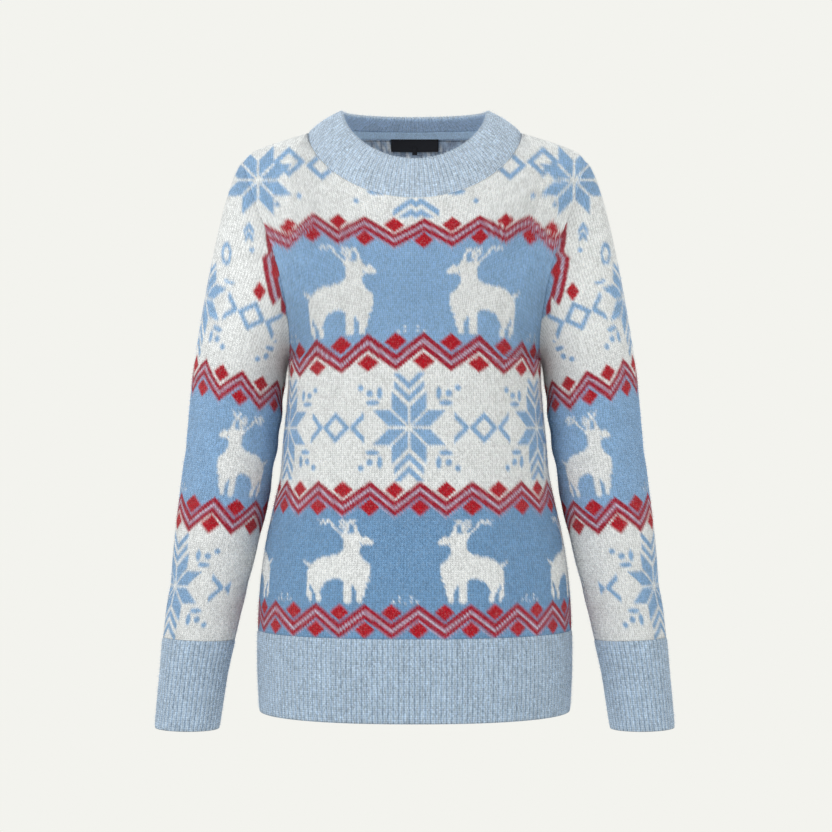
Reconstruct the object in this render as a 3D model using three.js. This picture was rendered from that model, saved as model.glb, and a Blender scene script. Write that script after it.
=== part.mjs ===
// A long-sleeved crew-neck jumper of brushed wool, filled out as if worn, with nobody in it.
// Millimetres, +Z up. The front faces -Y, and left and right are as seen from the front.
// The origin is the middle of the neck's base, between the shoulders, where the wearer holds it.

import * as THREE from 'three';

// Cloth and seams
const KNIT = 2.8; // thickness of the patterned knit
const RIB_KNIT = 3.0; // thickness of the hem and cuff ribs, without their relief
const BAND = 5.2; // thickness of the neckband, which is folded double
const BAND_ROUNDING = 1.3; // how far each face of the band is drawn in at its top fold
const SEAM_GAP = 0.3;
const RIB_HEIGHT = 0.9;
const CORNER_COSINE = 0.7; // an edge that turns more than this is a corner where two seams meet

// The grid of each panel: columns from the centre line to the side, rows from the top to the hem
const NECK_COLUMNS = 8;
const SHOULDER_COLUMNS = 4;
const HALF_COLUMNS = NECK_COLUMNS + SHOULDER_COLUMNS;
const ARMHOLE_ROWS = 10;
const SIDE_ROWS = 12;
const HEM_ROWS = 2;
const BAND_ROWS = 3;

// Ribs: fine columns of relief to each column of the plain inside
const HEM_FINENESS = 7;
const CUFF_FINENESS = 4;
const BAND_FINENESS = 8;

// Neckline: the seam of the band on the body, and the fold at the band's top
const NECK_SEAM = { halfWidth: 115, front: 108, back: 104, sideZ: 18.5, frontZ: -61, backZ: 25.5 };
const NECK_TOP = { halfWidth: 78, front: 91, back: 70, sideZ: 43, frontZ: -18, backZ: 45 };
const NECK_DIP = 1.22; // above 1, the neckline leaves the neck point level
const BAND_BULGE = 2.5; // the band's outward swell halfway up
const BAND_BULGE_RISE = 0.6; // how much that swell points upwards

// Shoulder seam, from the neck point out to the sleeve
const SHOULDER = [
  { part: 0, x: 115, z: 18.5 },
  { part: 0.3, x: 135, z: 12.3 },
  { part: 0.6, x: 157, z: 5.2 },
  { part: 0.85, x: 176, z: -3 },
  { part: 1, x: 185, z: -12 },
];
const SHOULDER_ROLL = 75; // how far down the cloth rolls over from the shoulder seam to the chest
const NECK_ROLL = 60;
const WIDTH_ROLL = 150;
const SHOULDER_START = 0.45; // how far across a panel the shoulder's roll begins, and where it is full
const SHOULDER_FULL = 0.8;
const EDGE_HOLD = 6; // the power with which a panel's edge is held to the armhole

// Trunk sections: half of the width, and the depths in front of and behind the side seams
const TRUNK = [
  { z: 40, halfWidth: 190, front: 94, back: 100, squareness: 2.5 },
  { z: -12, halfWidth: 190, front: 100, back: 108, squareness: 2.5 },
  { z: -40, halfWidth: 187, front: 104, back: 112, squareness: 2.5 },
  { z: -61, halfWidth: 183, front: 108, back: 114, squareness: 2.5 },
  { z: -86, halfWidth: 178, front: 113, back: 116, squareness: 2.5 },
  { z: -120, halfWidth: 169, front: 119, back: 117, squareness: 2.5 },
  { z: -154, halfWidth: 157, front: 125, back: 117.5, squareness: 2.5 },
  { z: -184, halfWidth: 144.5, front: 128, back: 116, squareness: 2.45 },
  { z: -208, halfWidth: 137, front: 128.5, back: 114, squareness: 2.4 },
  { z: -228, halfWidth: 135.5, front: 128, back: 112, squareness: 2.4 },
  { z: -255, halfWidth: 136, front: 126.5, back: 108.5, squareness: 2.35 },
  { z: -285, halfWidth: 138.5, front: 124, back: 105, squareness: 2.3 },
  { z: -315, halfWidth: 141.5, front: 122, back: 103, squareness: 2.3 },
  { z: -350, halfWidth: 144.5, front: 121.5, back: 104, squareness: 2.25 },
  { z: -383, halfWidth: 151.5, front: 122.5, back: 107, squareness: 2.25 },
  { z: -417, halfWidth: 159, front: 124.5, back: 111, squareness: 2.25 },
  { z: -452, halfWidth: 164.5, front: 127, back: 115, squareness: 2.25 },
  { z: -486, halfWidth: 167.5, front: 129, back: 118, squareness: 2.25 },
  { z: -516, halfWidth: 168.5, front: 130, back: 120, squareness: 2.25 },
  { z: -560, halfWidth: 168.5, front: 131, back: 121.5, squareness: 2.25 },
  { z: -603, halfWidth: 166.5, front: 130, back: 121, squareness: 2.25 },
];
const UNDERARM_Z = -228;
const HEM_SEAM_Z = -516;
const HEM_EDGE_Z = -603;

// Armhole, from the shoulder tip down to the underarm
const ARMHOLE = [
  { part: 0, frontX: 185, frontY: 0, backX: 185, backY: 0, z: -12 },
  { part: 0.1, frontX: 183.5, frontY: -20, backX: 184, backY: 24, z: -17 },
  { part: 0.2, frontX: 179.5, frontY: -37, backX: 180.5, backY: 40, z: -31 },
  { part: 0.3, frontX: 171, frontY: -53, backX: 172, backY: 53, z: -55 },
  { part: 0.4, frontX: 159, frontY: -66, backX: 161, backY: 63, z: -86 },
  { part: 0.5, frontX: 147, frontY: -75, backX: 150, backY: 69, z: -120 },
  { part: 0.6, frontX: 138.5, frontY: -75, backX: 142, backY: 67, z: -154 },
  { part: 0.7, frontX: 134, frontY: -65, backX: 136.5, backY: 56, z: -184 },
  { part: 0.8, frontX: 132.5, frontY: -48, backX: 134, backY: 40, z: -208 },
  { part: 0.9, frontX: 134, frontY: -26, backX: 134.5, backY: 22, z: -222.5 },
  { part: 1, frontX: 135.5, frontY: 0, backX: 135.5, backY: 0, z: -228 },
];
const UNDERARM_TURN = 0.92; // how far the cloth turns down at the underarm, to fold into the sleeve
const UNDERARM_START = 0.62; // how far down the armhole that turn begins

// Sleeve sections across the arm: where its centre line lies, its half sizes, and in degrees how far
// the section dips towards the body
const SLEEVE = [
  { z: -250, x: 190.5, y: 6, halfWidth: 50, halfDepth: 61, dip: 8.2 },
  { z: -282, x: 193.2, y: 7, halfWidth: 50.3, halfDepth: 58.5, dip: 8.2 },
  { z: -315, x: 196.6, y: 7, halfWidth: 50.2, halfDepth: 55.5, dip: 8.1 },
  { z: -350, x: 201.8, y: 5.5, halfWidth: 49, halfDepth: 52.5, dip: 7.8 },
  { z: -384, x: 207.2, y: 3, halfWidth: 47.6, halfDepth: 50, dip: 7.2 },
  { z: -418, x: 213.4, y: 0, halfWidth: 45.4, halfDepth: 47.5, dip: 6.2 },
  { z: -452, x: 219, y: -4, halfWidth: 42.8, halfDepth: 45, dip: 5 },
  { z: -486, x: 225, y: -8.5, halfWidth: 40.8, halfDepth: 42.5, dip: 3.6 },
  { z: -524, x: 231.3, y: -13.5, halfWidth: 38.4, halfDepth: 40, dip: 2.2 },
  { z: -560, x: 236.5, y: -18, halfWidth: 35.8, halfDepth: 37.5, dip: 1.4 },
  { z: -590, x: 240, y: -21.5, halfWidth: 34.8, halfDepth: 36, dip: 1 },
  { z: -621, x: 243.4, y: -25, halfWidth: 33.7, halfDepth: 34.9, dip: 1 },
];
const CAP_DIP = THREE.MathUtils.degToRad(8.2); // how far the cap's end leans out along the arm
const BICEPS_Z = -250;
const CUFF_SEAM_Z = -525;
const CUFF_EDGE_Z = -620;
const CAP_RINGS = [0, 0.08, 0.2, 0.36, 0.55, 0.77]; // how far down the cap its rings lie
const ARM_RINGS = 10;
const CUFF_RINGS = 2;
const CAP_LEAVE = 0.35; // how strongly the cap leaves the armhole along the body's cloth
const CAP_ARRIVE = 0.9; // and how strongly it comes into the arm along the arm's line
const UNDERARM_LEAVE = 0.8; // how far it leaves the underarm straight outwards instead
const UNDERARM_NEAR = { start: 0.4, end: 0.85 }; // from the shoulder tip, where that comes in

// The largest soft folds of the body: each is a trough along a line from (x0, z0) to (x1, z1)
const FOLD_FADE_IN = [-0.1, 0.3]; // along the line, where a fold comes in and where it goes
const FOLD_FADE_OUT = [0.6, 1.15];
const BODY_FOLDS = [
  { face: -1, x0: -126, z0: -236, x1: -84, z1: -296, width: 20, depth: -3.5 },
  { face: -1, x0: 126, z0: -240, x1: 90, z1: -310, width: 22, depth: -3.2 },
  { face: -1, x0: -124, z0: -330, x1: -104, z1: -470, width: 26, depth: -2.6 },
  { face: -1, x0: 122, z0: -320, x1: 110, z1: -490, width: 24, depth: -2.8 },
  { face: 1, x0: -120, z0: -240, x1: -70, z1: -310, width: 24, depth: -3.8 },
  { face: 1, x0: 118, z0: -236, x1: 76, z1: -322, width: 22, depth: -3.4 },
  { face: 1, x0: -60, z0: -330, x1: -76, z1: -480, width: 30, depth: -3 },
  { face: 1, x0: 48, z0: -340, x1: 66, z1: -500, width: 28, depth: -2.6 },
];
// The sleeve's folds: each is a hollow part of the way round the arm, its spread in degrees
const SLEEVE_FOLDS = [
  { angle: 20, z: -300, spread: 55, width: 15, depth: -3 },
  { angle: 340, z: -334, spread: 60, width: 16, depth: -3.4 },
  { angle: 60, z: -372, spread: 50, width: 15, depth: -2.6 },
  { angle: 150, z: -470, spread: 60, width: 16, depth: -2 },
  { angle: 300, z: -410, spread: 55, width: 17, depth: -2.4 },
];

// Label and its tab, hung from the strip at the back of the neck
const TAPE = { thickness: 1.2, rows: [0.3, 1, 1.3], reach: 6 }; // in the band's own rows and columns
const LABEL = { width: 53, height: 15, thickness: 0.8, topZ: 23.65, columns: 6 };
const LABEL_BEND = { halfWidth: 107, depth: 96.6 }; // the ellipse the label and tab lie along
const TAB = { width: 5.6, height: 9, thickness: 0.6, drop: 9.6 };

const WHITE_WOOL = new THREE.MeshStandardMaterial({ color: 0xdce0e3, roughness: 0.95, metalness: 0 });
const BLUE_RIB = new THREE.MeshStandardMaterial({ color: 0xa9bfd4, roughness: 0.95, metalness: 0 });
const BLUE_TAPE = new THREE.MeshStandardMaterial({ color: 0x84a0bb, roughness: 0.9, metalness: 0 });
const BLACK_WEAVE = new THREE.MeshStandardMaterial({ color: 0x16171b, roughness: 0.6, metalness: 0 });

const { lerp, smoothstep } = THREE.MathUtils;
const HALF_TURN = Math.PI;
const RIGHT_ANGLE = Math.PI / 2;

// Reads every column of a table at a value of its key, on a smooth curve through the rows.
function readTable(rows, key, value) {
  const rising = rows[1][key] > rows[0][key];
  let k = 0;
  while (k < rows.length - 2 && (rising ? value > rows[k + 1][key] : value < rows[k + 1][key])) {
    k += 1;
  }
  const span = rows[k + 1][key] - rows[k][key];
  const t = THREE.MathUtils.clamp((value - rows[k][key]) / span, 0, 1);
  const before = rows[Math.max(k - 1, 0)];
  const after = rows[Math.min(k + 2, rows.length - 1)];
  const result = {};
  for (const column of Object.keys(rows[0])) {
    const a = rows[k][column];
    const b = rows[k + 1][column];
    const slopeA = ((b - before[column]) / (rows[k + 1][key] - before[key])) * span;
    const slopeB = ((after[column] - a) / (after[key] - rows[k][key])) * span;
    const rise = t * t * (3 - 2 * t);
    const leave = t * (1 - t) * (1 - t);
    const arrive = t * t * (t - 1);
    result[column] = a + (b - a) * rise + slopeA * leave + slopeB * arrive;
  }
  return result;
}

// A point of the neck seam or the band's top fold. The angle is 0 in front, a right angle at the side.
function neckLoop(loop, angle) {
  const forward = Math.cos(angle);
  const reach = forward > 0 ? loop.front : loop.back;
  const endZ = forward > 0 ? loop.frontZ : loop.backZ;
  return new THREE.Vector3(
    loop.halfWidth * Math.sin(angle),
    -reach * forward,
    lerp(loop.sideZ, endZ, Math.abs(forward) ** NECK_DIP),
  );
}

// The top edge of half a panel: the neckline from the centre to the neck point, then the shoulder seam.
function topEdge(across, face) {
  const neckShare = NECK_COLUMNS / HALF_COLUMNS;
  if (across <= neckShare) {
    const turn = (across / neckShare) * RIGHT_ANGLE;
    return neckLoop(NECK_SEAM, face < 0 ? turn : HALF_TURN - turn);
  }
  const seam = readTable(SHOULDER, 'part', (across - neckShare) / (1 - neckShare));
  return new THREE.Vector3(seam.x, 0, seam.z);
}

// A section is a superellipse: (x / halfWidth)^squareness + (y / depth)^squareness = 1.
function trunkPoint(share, z, face) {
  const section = readTable(TRUNK, 'z', z);
  const power = 2 / section.squareness;
  let edgeAngle = RIGHT_ANGLE;
  if (z > UNDERARM_Z) {
    const seam = readTable(ARMHOLE, 'z', z);
    const edgeX = Math.min((face < 0 ? seam.frontX : seam.backX) / section.halfWidth, 1);
    edgeAngle = Math.asin(edgeX ** (1 / power));
  }
  const angle = edgeAngle * share;
  const depth = face < 0 ? section.front : section.back;
  return new THREE.Vector3(
    section.halfWidth * Math.sin(angle) ** power,
    face * depth * Math.max(Math.cos(angle), 0) ** power,
    z,
  );
}

// The trunk's section, drawn in to the neckline and rolled over to the shoulder seam above it.
function hungPoint(across, z, face) {
  const top = topEdge(across, face);
  const point = trunkPoint(across, z, face);
  const fall = Math.max(top.z - z, 0);
  const inShoulder = smoothstep(across, SHOULDER_START, SHOULDER_FULL);
  const roll = 1 - Math.min(fall / lerp(NECK_ROLL, SHOULDER_ROLL, inShoulder), 1);
  const depthShare = lerp(1 - roll * roll, Math.sqrt(1 - roll * roll), inShoulder);
  const widthRoll = 1 - Math.min(fall / WIDTH_ROLL, 1);
  point.y = lerp(top.y, point.y, depthShare);
  point.x = lerp(top.x, point.x, 1 - widthRoll * widthRoll);
  return point;
}

// A point of half a panel, by column from the centre line and by row from the top.
function halfPanelPoint(column, row, face) {
  const across = column / HALF_COLUMNS;
  if (row > ARMHOLE_ROWS) {
    return hungPoint(across, lerp(UNDERARM_Z, HEM_SEAM_Z, (row - ARMHOLE_ROWS) / SIDE_ROWS), face);
  }
  const part = row / ARMHOLE_ROWS;
  const seam = readTable(ARMHOLE, 'part', part);
  const edge = new THREE.Vector3(
    face < 0 ? seam.frontX : seam.backX,
    face < 0 ? seam.frontY : seam.backY,
    seam.z,
  );
  const edgeFall = (edge.z - ARMHOLE[0].z) / (UNDERARM_Z - ARMHOLE[0].z);
  const fall = lerp(part, edgeFall, across * across);
  const point = hungPoint(across, lerp(topEdge(across, face).z, UNDERARM_Z, fall), face);
  const miss = edge.sub(hungPoint(1, edge.z, face));
  return point.addScaledVector(miss, across ** EDGE_HOLD);
}

// How far a fold moves a point of the body: a soft trough along a line, fading at both ends and
// towards the side seams.
function bodyFold(point, share, face) {
  let depth = 0;
  for (const fold of BODY_FOLDS) {
    if (fold.face === face) {
      const alongX = fold.x1 - fold.x0;
      const alongZ = fold.z1 - fold.z0;
      const length = Math.hypot(alongX, alongZ);
      const along = ((point.x - fold.x0) * alongX + (point.z - fold.z0) * alongZ) / (length * length);
      const aside = ((point.x - fold.x0) * alongZ - (point.z - fold.z0) * alongX) / length / fold.width;
      const fade = smoothstep(along, ...FOLD_FADE_IN) * (1 - smoothstep(along, ...FOLD_FADE_OUT));
      depth += fold.depth * fade * Math.exp(-aside * aside);
    }
  }
  return depth * (1 - share ** 4);
}

// The front's or back's outer points, row by row. A row runs right to left on the front, and the
// other way on the back, so that both have their outside on the same hand.
function panelGrid(face) {
  const grid = [];
  for (let row = 0; row <= ARMHOLE_ROWS + SIDE_ROWS; row += 1) {
    const points = [];
    for (let column = -HALF_COLUMNS; column <= HALF_COLUMNS; column += 1) {
      const point = halfPanelPoint(Math.abs(column), row, face);
      point.x *= column < 0 ? -face : face;
      point.y += face * bodyFold(point, Math.abs(column) / HALF_COLUMNS, face);
      points.push(point);
    }
    grid.push(points);
  }
  return grid;
}

function hemGrid(face) {
  const grid = [];
  for (let row = 0; row <= HEM_ROWS; row += 1) {
    const z = lerp(HEM_SEAM_Z, HEM_EDGE_Z, row / HEM_ROWS);
    const points = [];
    for (let column = -HALF_COLUMNS; column <= HALF_COLUMNS; column += 1) {
      const share = Math.abs(column) / HALF_COLUMNS;
      const point = trunkPoint(share, z, face);
      point.x *= column < 0 ? -face : face;
      point.y += face * bodyFold(point, share, face);
      points.push(point);
    }
    grid.push(points);
  }
  return grid;
}

// The neckband's outer points, from the seam up to the fold. Each row goes once round the neck.
function bandGrid() {
  const columns = 4 * NECK_COLUMNS;
  const grid = [];
  for (let row = 0; row <= BAND_ROWS; row += 1) {
    const points = [];
    for (let column = 0; column < columns; column += 1) {
      points.push(bandPoint((column / columns) * 2 * HALF_TURN, row / BAND_ROWS));
    }
    grid.push(points);
  }
  return grid;
}

// A point of the band's outer face. The height is 0 at the seam and 1 at the fold.
function bandPoint(angle, height) {
  const seam = neckLoop(NECK_SEAM, angle);
  const point = seam.clone().lerp(neckLoop(NECK_TOP, angle), height);
  const outward = new THREE.Vector3(Math.sin(angle), -Math.cos(angle), BAND_BULGE_RISE).normalize();
  return point.addScaledVector(outward, BAND_BULGE * 4 * height * (1 - height));
}

// A ring round the arm. The angle is 0 on the side of the body, a right angle in front.
function armPoint(angle, z, side) {
  const section = readTable(SLEEVE, 'z', z);
  const degrees = THREE.MathUtils.radToDeg(angle);
  let swell = 0;
  for (const fold of SLEEVE_FOLDS) {
    const aside = (((degrees - fold.angle + 540) % 360) - 180) / fold.spread;
    const along = (z - fold.z) / fold.width;
    swell += fold.depth * Math.exp(-aside * aside - along * along);
  }
  const inward = (section.halfWidth + swell) * Math.cos(angle);
  const dip = THREE.MathUtils.degToRad(section.dip);
  return new THREE.Vector3(
    side * (section.x - inward * Math.cos(dip)),
    section.y - (section.halfDepth + swell) * Math.sin(angle),
    z - inward * Math.sin(dip),
  );
}

// The armhole as a ring of seam points, with the body's normals there: underarm, front, tip, back.
function armholeRing(front, back, side) {
  const ring = [];
  const edge = (panel, row) => {
    const outermost = panel.points[row].reduce((best, point, k) => (
      side * point.x > side * panel.points[row][best].x ? k : best), 0);
    const column = outermost > HALF_COLUMNS ? 2 * HALF_COLUMNS : 0;
    return { point: panel.points[row][column], normal: panel.normals[row][column] };
  };
  for (let k = 0; k < 2 * ARMHOLE_ROWS; k += 1) {
    const row = Math.abs(ARMHOLE_ROWS - k);
    ring.push(edge(k <= ARMHOLE_ROWS ? front : back, row));
  }
  return ring;
}

// The sleeve from the armhole to the cuff: a cap drawn as smooth curves from each seam point to the
// biceps, then rings down the arm.
function sleeveGrid(ring, side) {
  const count = ring.length;
  const grid = [];
  const alongArm = new THREE.Vector3(side * Math.sin(CAP_DIP), 0, -Math.cos(CAP_DIP));
  for (const t of CAP_RINGS) {
    grid.push(ring.map(({ point, normal }, k) => {
      const end = armPoint((k / count) * 2 * HALF_TURN, BICEPS_Z, side);
      const reach = end.clone().sub(point);
      const length = reach.length();
      const down = Math.abs(ARMHOLE_ROWS - k) / ARMHOLE_ROWS;
      const sideways = UNDERARM_LEAVE * smoothstep(down, UNDERARM_NEAR.start, UNDERARM_NEAR.end);
      const leave = reach.clone().addScaledVector(normal, -reach.dot(normal)).normalize();
      leave.lerp(new THREE.Vector3(side, 0, 0), sideways).setLength(CAP_LEAVE * length);
      const arrive = alongArm.clone().setLength(CAP_ARRIVE * length);
      const curve = new THREE.CubicBezierCurve3(
        point,
        point.clone().addScaledVector(leave, 1 / 3),
        end.clone().addScaledVector(arrive, -1 / 3),
        end,
      );
      return curve.getPoint(t);
    }));
  }
  for (let row = 0; row <= ARM_RINGS; row += 1) {
    grid.push(armRing(count, lerp(BICEPS_Z, CUFF_SEAM_Z, row / ARM_RINGS), side));
  }
  return grid;
}

function armRing(count, z, side) {
  return Array.from({ length: count }, (_, k) => armPoint((k / count) * 2 * HALF_TURN, z, side));
}

function cuffGrid(count, side) {
  const grid = [];
  for (let row = 0; row <= CUFF_RINGS; row += 1) {
    grid.push(armRing(count, lerp(CUFF_SEAM_Z, CUFF_EDGE_Z, row / CUFF_RINGS), side));
  }
  return grid;
}

// A piece of cloth as a grid of outer points and normals. A round piece closes on itself sideways,
// and hand is 1 or -1 so that the normals point outwards.
function makePiece(name, points, { round = false, hand = 1, thickness, fineness = 1, material }) {
  const rows = points.length;
  const columns = points[0].length;
  const normals = points.map((line, j) => line.map((_, i) => {
    const left = round ? (i - 1 + columns) % columns : Math.max(i - 1, 0);
    const right = round ? (i + 1) % columns : Math.min(i + 1, columns - 1);
    const across = line[right].clone().sub(line[left]);
    const down = points[Math.min(j + 1, rows - 1)][i].clone().sub(points[Math.max(j - 1, 0)][i]);
    return across.cross(down).multiplyScalar(hand).normalize();
  }));
  return { name, points, normals, round, hand, thickness, fineness, material };
}

const seamKey = (point) => [point.x, point.y, point.z].map((value) => Math.round(value * 20)).join();

// Gives pieces that meet at a seam the same normals there, so that their edges lie face to face.
function shareNormals(pieces) {
  const sums = new Map();
  const eachEdge = (piece, act) => piece.points.forEach((line, j) => line.forEach((point, i) => {
    const end = j === 0 || j === piece.points.length - 1;
    const side = !piece.round && (i === 0 || i === line.length - 1);
    if (end || side) {
      act(seamKey(point), piece.normals[j][i]);
    }
  }));
  for (const piece of pieces) {
    eachEdge(piece, (key, normal) => {
      if (!sums.has(key)) {
        sums.set(key, new THREE.Vector3());
      }
      sums.get(key).add(normal);
    });
  }
  for (const piece of pieces) {
    eachEdge(piece, (key, normal) => normal.copy(sums.get(key)).normalize());
  }
}

// Draws each edge of a piece back by half of the seam gap, square to the seam and in the cloth.
// A corner of the edge is drawn back from both of its seams.
function openSeams(piece) {
  const { points, normals, round, hand } = piece;
  const last = points.length - 1;
  const end = points[0].length - 1;
  const shifts = [];
  const drawBack = (j, i, before, after, sign) => {
    const arrive = points[j][i].clone().sub(before).normalize();
    const leave = after.clone().sub(points[j][i]).normalize();
    const corner = arrive.lengthSq() > 0 && leave.lengthSq() > 0 && arrive.dot(leave) < CORNER_COSINE;
    for (const along of corner ? [arrive, leave] : [arrive.add(leave)]) {
      const shift = normals[j][i].clone().cross(along).multiplyScalar(sign * hand);
      shifts.push({ point: points[j][i], shift: shift.setLength(SEAM_GAP / 2) });
    }
  };
  for (let i = 0; i <= end; i += 1) {
    const left = round ? (i + end) % (end + 1) : Math.max(i - 1, 0);
    const right = round ? (i + 1) % (end + 1) : Math.min(i + 1, end);
    drawBack(0, i, points[0][left], points[0][right], 1);
    drawBack(last, i, points[last][left], points[last][right], -1);
  }
  for (let j = 0; j <= last && !round; j += 1) {
    const above = Math.max(j - 1, 0);
    const below = Math.min(j + 1, last);
    drawBack(j, 0, points[above][0], points[below][0], -1);
    drawBack(j, end, points[above][end], points[below][end], 1);
  }
  for (const { point, shift } of shifts) {
    point.add(shift);
  }
}

// Splits each column of a row into fine ones, straight at a seam and on a smooth curve elsewhere.
function refineRow(line, fineness, round, straight) {
  const count = line.length;
  const at = (i) => (round ? line[(i + count) % count] : line[THREE.MathUtils.clamp(i, 0, count - 1)]);
  const fine = [];
  for (let i = 0; i < (round ? count : count - 1); i += 1) {
    for (let k = 0; k < fineness; k += 1) {
      const t = k / fineness;
      const point = at(i).clone().lerp(at(i + 1), t);
      if (!straight) {
        const before = at(i).clone().multiplyScalar(2).sub(at(i - 1)).sub(at(i + 1));
        const after = at(i + 1).clone().multiplyScalar(2).sub(at(i)).sub(at(i + 2));
        const arch = t * (1 - t) / 2;
        point.addScaledVector(before, arch * (1 - t)).addScaledVector(after, arch * t);
      }
      fine.push(point);
    }
  }
  if (!round) {
    fine.push(at(count - 1).clone());
  }
  return fine;
}

// Makes a closed wall of a piece: outer points, plain inner points, and rims between them.
function wallGeometry(piece) {
  const { points, normals, round, thickness, fineness, roundTop } = piece;
  const inner = points.map((line, j) => line.map((point, i) => (
    point.clone().addScaledVector(normals[j][i], -thickness))));
  const outer = points.map((line, j) => {
    const straight = j === 0;
    const fine = refineRow(line, fineness, round, straight);
    const fineNormals = refineRow(normals[j], fineness, round, true);
    return fine.map((point, i) => (
      point.addScaledVector(fineNormals[i].normalize(), fineness > 1 && i % 2 ? RIB_HEIGHT : 0)));
  });
  if (roundTop) {
    const last = points.length - 1;
    const fineNormals = refineRow(normals[last], fineness, round, true);
    outer[last].forEach((point, i) => point.addScaledVector(fineNormals[i].normalize(), -roundTop));
    inner[last].forEach((point, i) => point.addScaledVector(normals[last][i], roundTop));
  }
  return closeWall(outer, inner, round, fineness);
}

function closeWall(outer, inner, round, fineness) {
  const positions = [];
  const number = (grid) => grid.map((line) => line.map((point) => positions.push(point) - 1));
  const outerIndex = number(outer);
  const innerIndex = number(inner);
  const triangles = [];
  const quad = (a, b, c, d) => triangles.push([a, b, c], [a, c, d]);
  const skin = (index, inwards) => {
    const columns = index[0].length;
    for (let j = 0; j < index.length - 1; j += 1) {
      for (let i = 0; i < (round ? columns : columns - 1); i += 1) {
        const next = (i + 1) % columns;
        const corners = [index[j][i], index[j + 1][i], index[j + 1][next], index[j][next]];
        quad(...(inwards ? corners.reverse() : corners));
      }
    }
  };
  skin(outerIndex, false);
  skin(innerIndex, true);
  // A stretch of rim between one step of the inner edge and the run of outer points over it. Its
  // diagonal starts at the higher end, so that two pieces meeting at a seam turn alike.
  const stitch = (run, here, next, flip) => {
    const add = (a, b, c) => triangles.push(flip ? [a, c, b] : [a, b, c]);
    const steps = run.length - 1;
    const middle = steps > 1 ? Math.floor(steps / 2) : Number(positions[run[0]].z < positions[run[1]].z);
    for (let k = 0; k < steps; k += 1) {
      add(run[k], run[k + 1], k < middle ? here : next);
    }
    add(run[middle], next, here);
  };
  const rim = (outerLine, innerLine, flip) => {
    const coarse = innerLine.length;
    for (let i = 0; i < (round ? coarse : coarse - 1); i += 1) {
      const run = Array.from({ length: fineness + 1 }, (_, k) => (
        outerLine[(i * fineness + k) % outerLine.length]));
      stitch(run, innerLine[i], innerLine[(i + 1) % coarse], flip);
    }
  };
  const last = outer.length - 1;
  rim(outerIndex[0], innerIndex[0], false);
  rim(outerIndex[last], innerIndex[last], true);
  if (!round) {
    const outerEnd = outerIndex[0].length - 1;
    const innerEnd = innerIndex[0].length - 1;
    for (let j = 0; j < last; j += 1) {
      stitch([outerIndex[j][0], outerIndex[j + 1][0]], innerIndex[j][0], innerIndex[j + 1][0], true);
      stitch([outerIndex[j][outerEnd], outerIndex[j + 1][outerEnd]],
        innerIndex[j][innerEnd], innerIndex[j + 1][innerEnd], false);
    }
  }
  return solidGeometry(positions, triangles);
}

// Puts the triangles in a geometry, turned round if they enclose a negative volume.
function solidGeometry(positions, triangles) {
  let volume = 0;
  for (const [a, b, c] of triangles) {
    volume += positions[a].dot(positions[b].clone().cross(positions[c]));
  }
  const ordered = volume > 0 ? triangles : triangles.map(([a, b, c]) => [a, c, b]);
  const geometry = new THREE.BufferGeometry();
  geometry.setAttribute('position', new THREE.Float32BufferAttribute(
    positions.flatMap((point) => point.toArray()), 3));
  geometry.setIndex(ordered.flat());
  geometry.computeVertexNormals();
  return geometry;
}

// The strip at the back of the neck, made from the band's own points and moved out of its inner face.
function tapeGeometry(band) {
  const back = 2 * NECK_COLUMNS;
  const faces = [BAND + SEAM_GAP, BAND + SEAM_GAP + TAPE.thickness].map((depth) => (
    TAPE.rows.map((row) => {
      const low = Math.floor(row);
      return Array.from({ length: 2 * TAPE.reach + 1 }, (_, i) => {
        const column = back - TAPE.reach + i;
        const at = (k) => band.points[k][column].clone().addScaledVector(band.normals[k][column], -depth);
        return at(low).lerp(at(Math.min(low + 1, BAND_ROWS)), row - low);
      });
    })));
  return closeWall(faces[0], faces[1], false, 1);
}

// A small flat piece bent to the curve of the back of the neck.
function hungPatch(width, topZ, bottomZ, setBack, thickness, columns) {
  const faces = [setBack + thickness, setBack].map((back) => [topZ, bottomZ].map((z) => (
    Array.from({ length: columns + 1 }, (_, i) => {
      const x = lerp(-width / 2, width / 2, i / columns);
      const y = LABEL_BEND.depth * Math.sqrt(1 - (x / LABEL_BEND.halfWidth) ** 2) + back;
      return new THREE.Vector3(x, y, z);
    }))));
  return closeWall(faces[0], faces[1], false, 1);
}

const frontPanel = makePiece('front_panel', panelGrid(-1), { thickness: KNIT, material: WHITE_WOOL });
const backPanel = makePiece('back_panel', panelGrid(1), { thickness: KNIT, material: WHITE_WOOL });
for (const panel of [frontPanel, backPanel]) {
  for (let row = 0; row <= ARMHOLE_ROWS; row += 1) {
    const turn = UNDERARM_TURN * smoothstep(row / ARMHOLE_ROWS, UNDERARM_START, 1);
    for (const normal of [panel.normals[row][0], panel.normals[row][2 * HALF_COLUMNS]]) {
      normal.lerp(new THREE.Vector3(0, 0, -1), turn).normalize();
    }
  }
}
const ribbed = { thickness: RIB_KNIT, fineness: HEM_FINENESS, material: BLUE_RIB };
const hemFront = makePiece('hem_front', hemGrid(-1), ribbed);
const hemBack = makePiece('hem_back', hemGrid(1), ribbed);
const neckband = makePiece('neckband', bandGrid(), {
  round: true, thickness: BAND, fineness: BAND_FINENESS, material: BLUE_RIB,
});
neckband.roundTop = BAND_ROUNDING;
shareNormals([frontPanel, backPanel, hemFront, hemBack, neckband]);

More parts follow.
